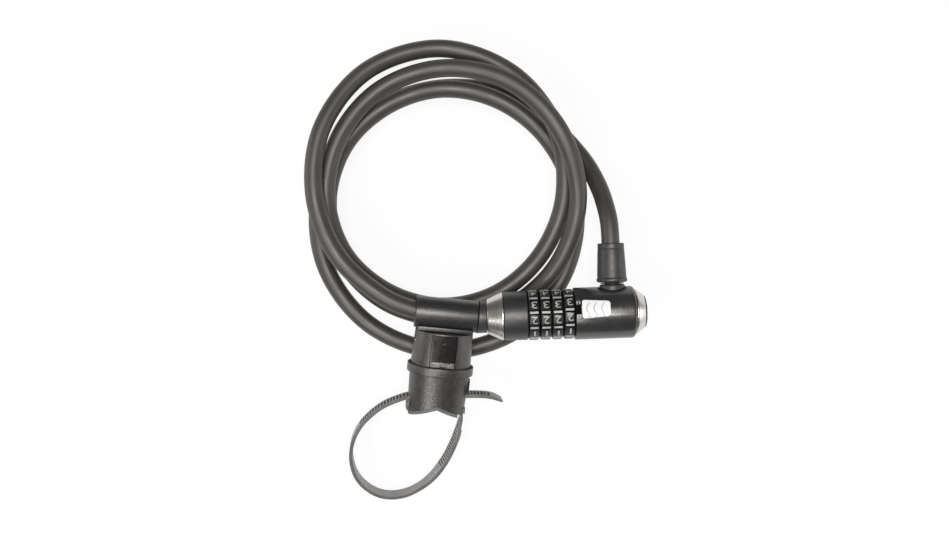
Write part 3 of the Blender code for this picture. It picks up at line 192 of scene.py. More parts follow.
def cable_line():
    """The gauged points in the room, from the boot round the coil to the plug."""
    inside = BOOT_BOTTOM + BOOT_LENGTH - BOOT_GRIP + SEAT_GAP
    points = [HEAD @ (Vector((inside + BOOT_GRIP * share, 0, BOOT_OFFSET)) * MM) for share in (0, 0.5, 1)]
    points += [Vector(point) * MM for point in LEAD_IN]
    for index, (radius, height) in enumerate(zip(TURN_RADII, TURN_HEIGHTS)):
        angle = math.radians(30 * (index + 1))
        points.append(Vector((COIL_CENTRE[0] + radius * math.cos(angle),
                              COIL_CENTRE[1] + radius * math.sin(angle), height)) * MM)
    aside = up.cross(sleeve_x).normalized()
    for share, drift in ((1.0, 0.6), (0.66, 0.1), (0.33, 0.0), (0.0, 0.0)):
        points.append(CABLE_END - sleeve_x * (SEAT_GAP + SLEEVE_LENGTH * share) * MM + aside * drift * MM)
    return catmull(points, LINE_STEPS)


ROUTE, ROUTE_LENGTH = spaced(cable_line(), RING_STEP * MM)
print(f"cable: {ROUTE_LENGTH:.3f} m in {len(ROUTE)} points")

# %% [markdown]
# ## The finishes
#
# Nearly everything on this lock is black, so the finishes differ in gloss and grain rather than in
# colour. One helper makes any moulded plastic: two close shades drift over the part, the gloss
# wanders a little, and a fine grain lives in the bump. The patterns read Object coordinates, which
# are metres here, so a grain of 0.3 mm is a noise scale of a few thousand.


# %% Node helpers
def new_finish(name):
    """An empty Principled material, its nodes, its shader and the object coordinates."""
    made = bpy.data.materials.new(name)
    made.use_nodes = True
    tree = made.node_tree
    return made, tree, tree.nodes["Principled BSDF"], tree.nodes.new("ShaderNodeTexCoord").outputs["Object"]


def noise(tree, vector, size, detail=2.0, stretch=None):
    """Noise whose blotches are about this many millimetres across, turned and stretched if asked."""
    texture = tree.nodes.new("ShaderNodeTexNoise")
    texture.inputs["Scale"].default_value = 1.0 / (size * MM)
    texture.inputs["Detail"].default_value = detail
    if stretch:
        mapping = tree.nodes.new("ShaderNodeMapping")
        mapping.vector_type = "TEXTURE"
        mapping.inputs["Rotation"].default_value, mapping.inputs["Scale"].default_value = stretch
        tree.links.new(vector, mapping.inputs["Vector"])
        vector = mapping.outputs["Vector"]
    tree.links.new(vector, texture.inputs["Vector"])
    return texture.outputs["Fac"]


def spread(tree, value, low, high, start=0.35, end=0.65):
    """A value from start to end, which is where most noise lies, stretched to run from low to high."""
    node = tree.nodes.new("ShaderNodeMapRange")
    for socket, level in zip(("From Min", "From Max", "To Min", "To Max"), (start, end, low, high)):
        node.inputs[socket].default_value = level
    tree.links.new(value, node.inputs["Value"])
    return node.outputs["Result"]


def dress(tree, shader, tone, shades, wear, gloss, height, depth):
    """A colour between two shades, a roughness between two levels, and bump of a depth in mm."""
    mix, bump = (tree.nodes.new("ShaderNode" + kind) for kind in ("Mix", "Bump"))
    mix.data_type = "RGBA"
    for socket, shade in zip("AB", shades):
        mix.inputs[socket].default_value = (*shade, 1)
    bump.inputs["Distance"].default_value = depth * MM
    tree.links.new(tone, mix.inputs["Factor"])
    tree.links.new(mix.outputs["Result"], shader.inputs["Base Color"])
    tree.links.new(spread(tree, wear, *gloss), shader.inputs["Roughness"])
    tree.links.new(height, bump.inputs["Height"])
    tree.links.new(bump.outputs["Normal"], shader.inputs["Normal"])


WARM_GLOSS = (1.0, 0.95, 0.91, 1)


def moulded(name, dark, light, gloss, grain, patch=9.0, specular=0.5):
    """A moulded plastic. Gloss is (low, high) roughness, grain is (size, depth) in mm."""
    made, tree, shader, place = new_finish(name)
    shader.inputs["Specular IOR Level"].default_value = specular
    shader.inputs["Specular Tint"].default_value = WARM_GLOSS
    dress(tree, shader, spread(tree, noise(tree, place, patch), 0, 1), (dark, light),
          noise(tree, place, patch / 3), gloss, noise(tree, place, grain[0], 3.0), grain[1])
    return made


def grey(level, blue=None):
    """A neutral shade, or one with its own blue."""
    return level, level, level if blue is None else blue


# %% Moulded plastics and rubber
SATIN_SHADES = grey(0.020, 0.0205), grey(0.026, 0.0265)
SATIN = moulded("satin_black", *SATIN_SHADES, (0.24, 0.30), (0.3, 0.003), specular=1.0)
FRONT_SATIN = moulded("front_satin", *SATIN_SHADES, (0.38, 0.45), (0.25, 0.006), specular=0.75)
DIAL_BLACK = moulded("dial_black", grey(0.011), grey(0.016), (0.28, 0.36), (0.3, 0.006), specular=0.6)
BOOT_BLACK = moulded("boot_black", grey(0.024, 0.025), grey(0.031, 0.032), (0.42, 0.5), (0.4, 0.012),
                     specular=0.7)
GRAINED = moulded("grained_nylon", grey(0.013), (0.036, 0.035, 0.034), (0.28, 0.42), (0.7, 0.16), 1.3, 1.0)
SLEEVE_NYLON = moulded("sleeve_nylon", grey(0.012, 0.0125), grey(0.028, 0.0285), (0.28, 0.40), (0.6, 0.10),
                       1.1, 0.85)
TAB_GLOSS = moulded("tab_gloss", (0.009, 0.008, 0.008), (0.013, 0.012, 0.012), (0.2, 0.28), (0.4, 0.006))
# Light grey for the tab's lip, a painted reflection on glossy black plastic.
LIP_PAINTED_SHEEN = moulded("lip_painted_sheen", (0.07, 0.068, 0.066), (0.26, 0.25, 0.24), (0.16, 0.26), (0.5, 0.06), 1.2)
FAINT_MARK = moulded("faint_mark", grey(0.05, 0.045), grey(0.07, 0.065), (0.4, 0.5), (0.3, 0.01))
SADDLE_GREY = moulded("saddle_grey", (0.11, 0.108, 0.105), (0.15, 0.148, 0.145), (0.6, 0.75), (0.4, 0.03))
# Near-black matte paint for the faces in the notch, which is painted shade.
NOTCH_PAINTED_SHADE = moulded("notch_painted_shade", grey(0.003), grey(0.005), (0.8, 0.9), (0.3, 0.01), specular=0.1)
RUBBER = moulded("saddle_rubber", grey(0.010), grey(0.015), (0.7, 0.85), (0.3, 0.02))
STRAP_FINISH = moulded("strap_nylon", (0.25, 0.24, 0.232), (0.31, 0.30, 0.29), (0.38, 0.5), (0.6, 0.015))
# A darker copy of the strap's finish for its two edges, which is painted shade.
STRAP_EDGE_PAINTED_SHADE = moulded("strap_edge_painted_shade", (0.10, 0.097, 0.094), (0.14, 0.136, 0.132), (0.42, 0.55), (0.6, 0.015))
# Light grey paint: the printed numbers and index marks, and the painted highlights on the dials' bars.
PRINT_AND_PAINTED_SHEEN = moulded("print_and_painted_sheen", grey(0.34, 0.33), grey(0.46, 0.45), (0.4, 0.5), (0.2, 0.008), 3.0)
BUTTON_PAINT = moulded("button_paint", grey(0.80), grey(0.86), (0.3, 0.38), (0.3, 0.006), 4.0)
# Grey paint in the button's grooves and the short marks past them, which is painted shade.
GRIP_PAINTED_SHADE = moulded("grip_painted_shade", (0.42, 0.41, 0.40), (0.50, 0.49, 0.47), (0.35, 0.45), (0.2, 0.006), 3.0)
print("plastics:", len(bpy.data.materials))

# %% [markdown]
# The cable's sleeve is soft vinyl. It is duller than the housings and a little warm, and it shows a
# broad, quiet highlight. Handling leaves fine marks along it, so a second, longer noise that follows
# the cable is read from a UV map: u runs along the cable in metres, v round it.


# %% Vinyl of the cable
def vinyl():
    """Soft black vinyl with faint marks drawn out along the cable."""
    made, tree, shader, place = new_finish("cable_vinyl")
    shader.inputs["Specular IOR Level"].default_value = 0.8
    shader.inputs["Specular Tint"].default_value = WARM_GLOSS
    along = tree.nodes.new("ShaderNodeUVMap")
    along.uv_map = "along"
    marks = noise(tree, along.outputs["UV"], 1.6, 3.0, ((0, 0, 0), (9, 1, 1)))
    shades = (0.034, 0.031, 0.027), (0.043, 0.040, 0.035)
    dress(tree, shader, spread(tree, noise(tree, place, 14.0), 0, 1), shades, marks, (0.43, 0.53),
          noise(tree, place, 0.35, 3.0), 0.012)
    return made


VINYL = vinyl()
print("vinyl:", VINYL.name)

# %% [markdown]
# The cone ring and the end cap are turned metal. The lathe leaves fine rings round the axis, so the
# noise is squeezed hard along the head's axis and drawn out across it. A Mapping node turned with
# the head does that. The metal also reads slightly darker between the rings, as tooling marks do.
# Drawn or stamped metal inside the lock has a soft smear instead.


# %% Metals
def metal(name, colour, gloss, lathe=False):
    """Metal with fine tooling rings round the head's axis, or with a smear if it saw no lathe."""
    made, tree, shader, place = new_finish(name)
    shader.inputs["Metallic"].default_value = 1.0
    if lathe:
        turn = (0.0, 0.0, math.atan2(dial_axis.y, dial_axis.x))
        wear = fine = noise(tree, place, 1.0, 4.0, (turn, (0.12, 40.0, 40.0)))
        shade, dull, depth = spread(tree, wear, 0, 1, 0.25, 0.75), 0.82, 0.006
    else:
        wear, fine = noise(tree, place, 2.0, 3.0), noise(tree, place, 0.2)
        shade, dull, depth = spread(tree, wear, 0, 1), 0.85, 0.004
    dress(tree, shader, shade, ([value * dull for value in colour], colour), wear, gloss, fine, depth)
    return made


BRUSHED = metal("turned_metal", (0.72, 0.68, 0.64), (0.24, 0.36), lathe=True)
STEEL = metal("steel", (0.52, 0.52, 0.53), (0.28, 0.4))
BRASS = metal("brass", (0.72, 0.55, 0.28), (0.3, 0.42))
BLACKENED = metal("blackened_steel", (0.03, 0.03, 0.032), (0.35, 0.45))
print("finishes:", len(bpy.data.materials))

# %% [markdown]
# ## How the pieces are made
#
# A few small helpers make almost everything. `turned` spins a profile, as a lathe would, and `rod` is
# its simplest case. `slab` extrudes an outline and `brick` makes a box. `eased` rounds the corners of
# a profile before it is spun, which costs nothing and never fails, unlike a bevel on a cut mesh.
# `carve` runs an exact Boolean between two shapes, and `cut` takes several away in turn. Each works
# in millimetres in the axes of its sub-assembly, and `finished` puts the result in place.


# %% Shape helpers
TINY = 1e-6
NEARLY_STRAIGHT = 0.15


def eased(points, radius=0.35, steps=3, closed=False):
    """The profile with every corner rounded by a short curve."""
    points = [Vector((*point, 0)) for point in points]
    count = len(points)
    line = []
    for index, corner in enumerate(points):
        if not closed and index in (0, count - 1):
            line.append(corner)
            continue
        back = points[index - 1] - corner
        ahead = points[(index + 1) % count] - corner
        if min(back.length, ahead.length) < TINY or abs(back.angle(ahead) - math.pi) < NEARLY_STRAIGHT:
            line.append(corner)
            continue
        reach = min(radius, 0.45 * back.length, 0.45 * ahead.length)
        start = corner + back.normalized() * reach
        end = corner + ahead.normalized() * reach
        for step in range(steps + 1):
            t = step / steps
            line.append(start * (1 - t) ** 2 + corner * 2 * t * (1 - t) + end * t * t)
    return [(point.x, point.y) for point in line]


def turned(profile, steps=96):
    """A bmesh spun from (along, radius) points about Z."""
    work = bmesh.new()
    corners = [work.verts.new((radius, 0, along)) for along, radius in profile]
    for here, there in zip(corners, corners[1:]):
        work.edges.new((here, there))
    if profile[0][1] > 0 or profile[-1][1] > 0:
        work.edges.new((corners[-1], corners[0]))
    bmesh.ops.spin(work, geom=work.verts[:] + work.edges[:], cent=(0, 0, 0), axis=(0, 0, 1),
                   dvec=(0, 0, 0), angle=2 * math.pi, steps=steps, use_merge=True, use_duplicate=False)
    bmesh.ops.remove_doubles(work, verts=work.verts, dist=0.0005)
    bmesh.ops.recalc_face_normals(work, faces=work.faces)
    return work


def rod(start, end, radius, sides, ease=0.0, rounds=3):
    """A round bar along Z, with eased rims if asked."""
    profile = [(start, 0), (start, radius), (end, radius), (end, 0)]
    return turned(eased(profile, ease, rounds) if ease else profile, sides)


def bevelled(work, edges, offset, segments=3):
    """Rounds these edges of the bmesh."""
    bmesh.ops.bevel(work, geom=edges, offset=offset, offset_type="OFFSET", affect="EDGES",
                    segments=segments, profile=0.5, material=-1, clamp_overlap=True)
    return work


def slab(outline, low, high, ease=0.0, rounds=2):
    """A bmesh extruded from a flat outline, from low to high along Z, with eased rims if asked."""
    work = bmesh.new()
    face = work.faces.new([work.verts.new((x, y, low)) for x, y in outline])
    pulled = bmesh.ops.extrude_face_region(work, geom=[face])
    tops = [item for item in pulled["geom"] if isinstance(item, bmesh.types.BMVert)]
    bmesh.ops.translate(work, vec=(0, 0, high - low), verts=tops)
    bmesh.ops.recalc_face_normals(work, faces=work.faces)
    if not ease:
        return work
    rims = [edge for edge in work.edges if abs(edge.verts[0].co.z - edge.verts[1].co.z) < TINY]
    return bevelled(work, rims, ease, rounds)


def brick(low, high, ease=0.0):
    """A box between two corners, with eased edges if asked."""
    work = bmesh.new()
    bmesh.ops.create_cube(work, size=1.0)
    low, high = Vector(low), Vector(high)
    bmesh.ops.scale(work, vec=high - low, verts=work.verts)
    bmesh.ops.translate(work, vec=(low + high) / 2, verts=work.verts)
    return bevelled(work, work.edges[:], ease) if ease else work


def moved(work, placement):
    """The same bmesh, moved by a matrix."""
    bmesh.ops.transform(work, matrix=placement, verts=work.verts)
    return work


def oval(work):
    """Flattens a turned shape to the bracket's oval and lays it along Y."""
    return moved(work, ALONG_Y @ Matrix.Diagonal((1, POST_FLATNESS, 1, 1)))


def as_mesh(name, work):
    """A mesh from a bmesh, which is used up."""
    mesh = bpy.data.meshes.new(name)
    work.to_mesh(mesh)
    work.free()
    return mesh


def frozen(made):
    """The mesh that an object shows, without the object."""
    bpy.context.view_layer.update()
    mesh = bpy.data.meshes.new_from_object(made.evaluated_get(bpy.context.evaluated_depsgraph_get()))
    bpy.data.objects.remove(made)
    return mesh


def as_bmesh(mesh):
    """A bmesh from a mesh, which is used up."""
    work = bmesh.new()
    work.from_mesh(mesh)
    bpy.data.meshes.remove(mesh)
    return work


def carve(work, tool, operation="DIFFERENCE"):
    """Cuts work with tool, joins them, or keeps what they share. Uses both up."""
    blank, cutter = (put("carving", as_mesh("carving", shape)) for shape in (work, tool))
    step = blank.modifiers.new("carve", "BOOLEAN")
    step.operation, step.solver, step.object = operation, "EXACT", cutter
    meshes = blank.data, cutter.data
    carved = as_bmesh(frozen(blank))
    bpy.data.objects.remove(cutter)
    for mesh in meshes:
        bpy.data.meshes.remove(mesh)
    return carved


def cut(work, *tools):
    """Cuts each tool out of work in turn."""
    for tool in tools:
        work = carve(work, tool)
    return work


ALONG_X = Matrix.Rotation(math.radians(90), 4, "Y")
ALONG_Y = Matrix.Rotation(math.radians(-90), 4, "X")


def shift(x, y, z, turn=Matrix()):
    """A placement moved from the origin, after a turn if asked."""
    return Matrix.Translation((x, y, z)) @ turn


def shaded(mesh, look, sharp):
    """Smooth shading with creases over an angle in degrees, and the piece's finish."""
    mesh.shade_smooth()
    mesh.set_sharp_from_angle(angle=math.radians(sharp))
    mesh.materials.append(look)


def finished(name, work, placement, look, body, stands_for=(), sharp=32):
    """Puts a bmesh in millimetres into the room as a piece, with its finish and body, hiding the parts it
    stands for.
    """
    mesh = as_mesh(name, work)
    mesh.transform(placement @ Matrix.Scale(MM, 4))
    shaded(mesh, look, sharp)
    made = put(name, mesh)
    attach(made, body)
    if stands_for:
        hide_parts(*stands_for)
    print(f"{name}: {len(mesh.polygons)} faces")
    return made


def circle(radius, count, start=0.0, turn=360.0):
    """Points on a circle or an arc, anticlockwise."""
    last = count if abs(turn) >= 360 else count - 1
    angles = [math.radians(start + turn * i / last) for i in range(count)]
    return [(radius * math.cos(angle), radius * math.sin(angle)) for angle in angles]


# %% [markdown]
# ## The cable
#
# A bevelled curve gives the tube its rings, and the mesh made from it is then pressed flat where it
# rests on the table. The last quarter metre has to follow the plug when it is pulled out of the head,
# so its points are blended between the two bodies, by their distance along the cable.

# %% The cable
CABLE_SIDES, CABLE_SHARP = 24, 50
PLUG_FOLLOWS = 0.26


def make_cable():
    """The vinyl tube along the route, with its UV map and its blend to the plug."""
    curve = bpy.data.curves.new("cable_line", "CURVE")
    curve.dimensions = "3D"
    curve.twist_mode = "Z_UP"
    curve.bevel_depth = CABLE_D / 2 * MM
    curve.bevel_resolution = CABLE_SIDES // 4 - 1
    curve.use_fill_caps = True
    spline = curve.splines.new("POLY")
    spline.points.add(len(ROUTE) - 1)
    for point, place in zip(spline.points, ROUTE):
        point.co = (*place, 1)
    mesh = frozen(put("cable_line", curve))
    mesh.name = "vinyl_cable"
    sides = len(mesh.vertices) // len(ROUTE)
    for vertex in mesh.vertices:
        vertex.co.z = max(0.0, vertex.co.z)
    layer = mesh.uv_layers.new(name="along")
    for loop in mesh.loops:
        ring, side = divmod(loop.vertex_index, sides)
        layer.data[loop.index].uv = (ROUTE_LENGTH * ring / len(ROUTE), CABLE_D * MM * 3.14 * side / sides)
    mesh.materials.clear()
    shaded(mesh, VINYL, CABLE_SHARP)
    made = put("vinyl_cable", mesh)
    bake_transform(made, "lock_head", "plug", start=ROUTE[0], end=ROUTE[-1])
    weights = []
    for vertex in mesh.vertices:
        ring = min(len(ROUTE) - 1, vertex.index // sides)
        left = ROUTE_LENGTH * (1 - ring / (len(ROUTE) - 1)) - SLEEVE_LENGTH * MM
        share = min(1.0, max(0.0, 1 - left / PLUG_FOLLOWS))
        weights.append(share * share * (3 - 2 * share))
    mesh.attributes["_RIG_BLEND"].data.foreach_set("value", weights)
    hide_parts("cable")
    print(f"cable tube: {sides} sides, {len(mesh.polygons)} faces")


make_cable()

# %% [markdown]
# ## The front of the head
#
# The front housing is a plain satin barrel. In front of it sits a short cone of bright metal that
# guides the plug. Both are spun from profiles whose corners are eased.

# %% Front housing and cone ring
DIAL_COUNT, DIAL_PITCH, DIAL_GAP, DIAL_R = 4, 6.4, 0.35, 13.65
DIAL_STACK = DIAL_COUNT * DIAL_PITCH
FACE_GAP = SEAT_GAP - DIAL_GAP / 2
FRONT_R, FRONT_LENGTH = 13.5, 12.9
FRONT_END = -DIAL_STACK - FACE_GAP
CONE_END = FRONT_END - FRONT_LENGTH - SEAT_GAP
CONE_TIP = CONE_END - 8.7
CONE_NOSE_R, CONE_BORE_R = 9.6, 7.9
CORE_BORE = 6.5

finished("front_barrel", turned(eased([
    (FRONT_END, CORE_BORE), (FRONT_END, FRONT_R), (CONE_END + SEAT_GAP, FRONT_R - 0.2),
    (CONE_END + SEAT_GAP, CORE_BORE)], 0.5, 4, closed=True)), HEAD, FRONT_SATIN, "lock_head",
    ["front_housing"])
finished("cone", turned(eased([
    (CONE_END, CONE_BORE_R), (CONE_END, FRONT_R - 0.3), (CONE_END - 0.5, FRONT_R - 0.3),
    (CONE_TIP + 0.9, CONE_NOSE_R + 0.3), (CONE_TIP, CONE_NOSE_R), (CONE_TIP, CONE_BORE_R)],
    0.3, 3, closed=True)), HEAD, BRUSHED, "lock_head", ["cone_ring"])

# %% [markdown]
# ## The dials
#
# Each dial carries ten numbers. Between neighbours there is a bar with a groove on either side, which
# gives the thumb something to push. A dial is therefore a turned ring with chamfered rims, and one
# tool of twenty small wedges cuts its grooves. The numbers stand a hair proud, as if filled with
# paint: each is a letter shape bent round the dial, after it has been sliced across so that it can
# bend. Each bar carries a light grey strip of the same paint, which is a painted highlight.

# %% One dial
DIAL_NUMBERS = 10
NUMBER_STEP = 360.0 / DIAL_NUMBERS
DIAL_TURNS = (8.2, 8.2, 8.2, 13.0)
DIAL_WIDTH = DIAL_PITCH - DIAL_GAP
GROOVE_SPREAD, GROOVE_WIDTH, GROOVE_LENGTH, GROOVE_DEPTH = 4.7, 1.0, 4.9, 1.2
CHAMFER = ((0.0, 1.4), (0.25, 0.8), (0.55, 0.36), (0.85, 0.1), (1.2, 0.0))
CODING_BORE = 9.9
TOP = 90.0
NUMBER_AT_BAR = 3
NUMBER_HEIGHT, NUMBER_WIDTH, NUMBER_SHIFT, ONE_SHARE = 3.9, 3.2, 0.25, 0.3
PAINT, PAINT_PROUD = 0.3, 0.06
SHEEN_BAR_EDGE, SHEEN_BAR_SHORT = 0.06, 0.8


def dial_body(start):
    """One dial from its front face: a chamfered ring with ten pairs of grooves."""
    blank = [(0.0, CODING_BORE)] + [(along, DIAL_R - drop) for along, drop in CHAMFER]
    blank += [(DIAL_WIDTH - along, radius) for along, radius in reversed(blank)]
    ring = turned([(start + along, radius) for along, radius in blank], 120)
    grooves = bmesh.new()
    half_turn = math.sqrt(0.5)
    size = (2 * GROOVE_DEPTH * half_turn, GROOVE_WIDTH * half_turn, GROOVE_LENGTH)
    for number in range(DIAL_NUMBERS):
        for side in (-1, 1):
            angle = math.radians(TOP + number * NUMBER_STEP + side * GROOVE_SPREAD)
            wedge = bmesh.ops.create_cube(grooves, size=1.0)["verts"]
            corner_up = Matrix.Rotation(math.radians(45), 4, "Z")
            placement = (Matrix.Rotation(angle, 4, "Z") @ shift(DIAL_R, 0, start + DIAL_WIDTH / 2)
                         @ Matrix.Diagonal((*size, 1)) @ corner_up)
            bmesh.ops.transform(grooves, matrix=placement, verts=wedge)
    return carve(ring, grooves)


def merge(target, shape):
    """Adds one bmesh to another and uses it up."""
    mesh = as_mesh("copy", shape)
    target.from_mesh(mesh)
    bpy.data.meshes.remove(mesh)


def stamp(target, flat, angle, middle, radius):
    """Bends a flat shape (x round the axis, y along it, z outwards) onto a cylinder, and adds it."""
    for vertex in flat.verts:
        bend = math.radians(angle) + vertex.co.x / radius
        reach = radius + vertex.co.z
        vertex.co = (reach * math.cos(bend), reach * math.sin(bend), middle + vertex.co.y)
    merge(target, flat)


def sliced(work, step):
    """Cuts a flat shape across at even steps of x, so that it can bend."""
    low = min(vertex.co.x for vertex in work.verts)
    high = max(vertex.co.x for vertex in work.verts)
    count = max(1, math.ceil((high - low) / step))
    for index in range(1, count):
        bmesh.ops.bisect_plane(work, geom=work.verts[:] + work.edges[:] + work.faces[:], dist=1e-5,
                               plane_co=(low + (high - low) * index / count, 0, 0), plane_no=(1, 0, 0))
    return work


def bar(half_x, low_y, high_y, step):
    """A flat bar of paint, sliced so that it can bend."""
    return sliced(brick((-half_x, low_y, -PAINT / 2), (half_x, high_y, PAINT / 2)), step)


def number_shape(text):
    """A number as a flat, centred solid with its head towards +X."""
    curve = bpy.data.curves.new("number", "FONT")
    curve.body, curve.size, curve.offset, curve.resolution_u, curve.extrude = text, 1.0, -0.004, 3, 0.02
    work = as_bmesh(frozen(put("number", curve)))
    bmesh.ops.remove_doubles(work, verts=work.verts, dist=1e-5)
    axis_values = list(zip(*(vertex.co for vertex in work.verts)))
    low, high = (Vector(list(map(pick, axis_values))) for pick in (min, max))
    bmesh.ops.translate(work, vec=-(low + high) / 2, verts=work.verts)
    size = (NUMBER_WIDTH * (ONE_SHARE if text == "1" else 1.0), NUMBER_HEIGHT, PAINT)
    scales = [wanted / has for wanted, has in zip(size, high - low)]
    bmesh.ops.scale(work, vec=scales, verts=work.verts)
    return sliced(moved(work, Matrix.Rotation(math.radians(-90), 4, "Z")), 0.5)


NUMBERS = [number_shape(str(value)) for value in range(DIAL_NUMBERS)]
print("number shapes:", len(NUMBERS))

# %% [markdown]
# The dials were left at different numbers, so each one is turned a little from the next. The printed
# numbers and the painted highlights on the bars are one piece a dial, which rides on the dial's own
# body and turns with it.

# %% The four dials
sheen_bar_half = math.radians(GROOVE_SPREAD) * DIAL_R - GROOVE_WIDTH / 2 - SHEEN_BAR_EDGE
sheen_bar_reach = DIAL_WIDTH / 2 - SHEEN_BAR_SHORT
paint_r = DIAL_R + PAINT_PROUD - PAINT / 2
for index, turn in enumerate(DIAL_TURNS):
    start = -DIAL_STACK + index * DIAL_PITCH + DIAL_GAP / 2
    middle = start + DIAL_WIDTH / 2
    place = HEAD @ Matrix.Rotation(math.radians(-turn), 4, "Z")
    body_name = f"dial_ring_{index + 1}"
    finished(f"dial_body_{index + 1}", dial_body(start), place, DIAL_BLACK, body_name,
             [f"dial_{index + 1}"])
    paint = bmesh.new()
    for value, shape in enumerate(NUMBERS):
        angle = TOP - NUMBER_STEP / 2 - NUMBER_STEP * (value - NUMBER_AT_BAR)
        stamp(paint, shape.copy(), angle, middle + NUMBER_SHIFT, paint_r)
        # The light grey strip on each bar is a painted highlight.
        stamp(paint, bar(sheen_bar_half, -sheen_bar_reach, sheen_bar_reach, 0.3), angle + NUMBER_STEP / 2, middle, paint_r)
    bmesh.ops.recalc_face_normals(paint, faces=paint.faces)
    finished(f"dial_print_and_sheen_{index + 1}", paint, place, PRINT_AND_PAINTED_SHEEN, body_name)

# %% [markdown]
# ## The rear of the head
#
# The rear housing is a closed cup with a bore in its side where the cable comes in. A short neck of
# its own stands round the bore and carries the boot. A slot for the button's stem is cut through the
# crest, and a notch is cut in front of the button, between two pairs of painted index marks. The
# faces in the notch are near-black paint, a painted shade.

# %% Rear housing
REAR_R, REAR_LENGTH, REAR_WALL, REAR_FILLET = 14.3, 33.1, 2.4, 1.9
REAR_CAVITY = REAR_R - REAR_WALL
BOSS_TOP, BOSS_R, NECK_BORE = 15.5, 6.9, 4.5
CORE_R = 6.2
BUTTON_TILT = 11.5
TO_TILT = Matrix.Rotation(math.radians(-BUTTON_TILT), 4, "Z")
TILTED = HEAD @ TO_TILT
BUTTON_START, BUTTON_LENGTH, BUTTON_RISE = 2.7, 15.6, 1.1
STEM_HALF, STEM_START, STEM_LENGTH = 1.9, 3.2, 8.0
BUTTON_TRAVEL = 1.8
NOTCH_HALF, NOTCH_DEPTH, NOTCH_END = 2.5, 2.0, BUTTON_START + 0.7
TO_CABLE = shift(0, 0, BOOT_OFFSET, ALONG_X)
BOOT_PLACE = HEAD @ Matrix.Translation(Vector((0, 0, BOOT_OFFSET)) * MM) @ ALONG_X


def rear_cup():
    """The cup, hollow inside, with the cable's bore, the stem's slot and the notch."""
    rim = [(REAR_LENGTH - REAR_FILLET * (1 - math.sin(angle)), REAR_R - REAR_FILLET * (1 - math.cos(angle)))
           for angle in (math.radians(step * 11.25) for step in range(9))]
    cup = turned([(FACE_GAP, 0), (FACE_GAP, REAR_R - 0.4), (FACE_GAP + 0.12, REAR_R - 0.12),
                  (FACE_GAP + 0.4, REAR_R), *rim, (REAR_LENGTH, 0)], 128)
    hollow = turned([(REAR_LENGTH + 1, 0), (REAR_LENGTH + 1, REAR_CAVITY), (4, REAR_CAVITY), (4, CORE_BORE),
                     (2.1, CORE_BORE), (2.1, 9.6), (-1, 9.6), (-1, 0)], 64)
    bore = rod(CORE_R, BOSS_TOP + 2, NECK_BORE, 40)
    slot = brick((-STEM_HALF - SEAT_GAP, REAR_CAVITY - 2, STEM_START - BUTTON_TRAVEL - SEAT_GAP),
                 (STEM_HALF + SEAT_GAP, REAR_R + 2, STEM_START + STEM_LENGTH + SEAT_GAP))
    notch = brick((-NOTCH_HALF, REAR_R - NOTCH_DEPTH, -1), (NOTCH_HALF, REAR_R + 2, NOTCH_END))
    cup = cut(cup, hollow, moved(bore, TO_CABLE), moved(slot, TO_TILT), moved(notch, TO_TILT))
    upright = TO_TILT.inverted()
    # The notch's faces take the second finish, near-black paint that is painted shade.
    for face in cup.faces:
        across, high, along = upright @ face.calc_center_median()
        dark = abs(across) < NOTCH_HALF + 0.1 and 9 < high < REAR_R - 0.25 and along < NOTCH_END + 0.1
        face.material_index = int(dark)
    return cup


rear = finished("rear_cup", rear_cup(), HEAD, SATIN, "lock_head", ["rear_housing"])
rear.data.materials.append(NOTCH_PAINTED_SHADE)
neck_foot = REAR_CAVITY + 0.2
finished("cable_neck", turned(eased([
    (neck_foot, NECK_BORE), (neck_foot, BOSS_R + 0.3), (BOSS_TOP - 0.9, BOSS_R + 0.1),
    (BOSS_TOP, BOSS_R - 0.4), (BOSS_TOP, NECK_BORE)], 0.5, 4, closed=True), 80), BOOT_PLACE, BOOT_BLACK,
    "lock_head", ["rear_housing"])

# %% Index marks
INDEX_ANGLE, INDEX_AT, INDEX_HALF, INDEX_SPREAD = 15.5, 1.5, 0.95, (-0.75, 0.55)
index_marks = bmesh.new()
for sign in (-1, 1):
    for across in INDEX_SPREAD:
        mark = bar(INDEX_HALF, across - 0.35, across + 0.35, 0.4)
        stamp(index_marks, mark, TOP + sign * INDEX_ANGLE, INDEX_AT, REAR_R - 0.1)
finished("index_paint", index_marks, TILTED, PRINT_AND_PAINTED_SHEEN, "lock_head")

# %% End cap and its plug
CAP_R, CAP_TIP_R, CAP_LENGTH = 12.4, 9.3, 5.2
CAP_BASE, CAP_FIT = REAR_LENGTH + CAP_LENGTH, REAR_CAVITY - SEAT_GAP
finished("cap", turned(eased([
    (REAR_LENGTH - 5.0, REAR_CAVITY - 3), (REAR_LENGTH - 5.0, CAP_FIT), (REAR_LENGTH + 0.15, CAP_FIT),
    (REAR_LENGTH + SEAT_GAP, CAP_R), (REAR_LENGTH + 1.0, CAP_R), (CAP_BASE, CAP_TIP_R),
    (CAP_BASE, CAP_TIP_R - 2), (CAP_BASE - 1.5, CAP_TIP_R - 2), (CAP_BASE - 1.5, CAP_TIP_R - 4),
    (REAR_LENGTH, CAP_TIP_R - 4)], 0.3, 3, closed=True)), HEAD, BRUSHED, "lock_head",
    ["end_cap"])
finished("cap_plug", turned(eased([
    (CAP_BASE - 1.2, 0), (CAP_BASE - 1.2, CAP_TIP_R - 2.3), (CAP_BASE + 0.3, CAP_TIP_R - 2.3),
    (CAP_BASE + 0.3, CAP_TIP_R - 0.4), (CAP_BASE + 0.9, CAP_TIP_R - 0.8), (CAP_BASE + 0.9, 0)], 0.3, 3), 80),
    HEAD, SATIN, "lock_head", ["end_plug"])

# %% [markdown]
# ## The boot
#
# Where the cable leaves the head it is held by a soft sleeve with a rounded mouth and a rolled foot.
# It tapers very slightly. A thin rubber washer closes the gap under it.

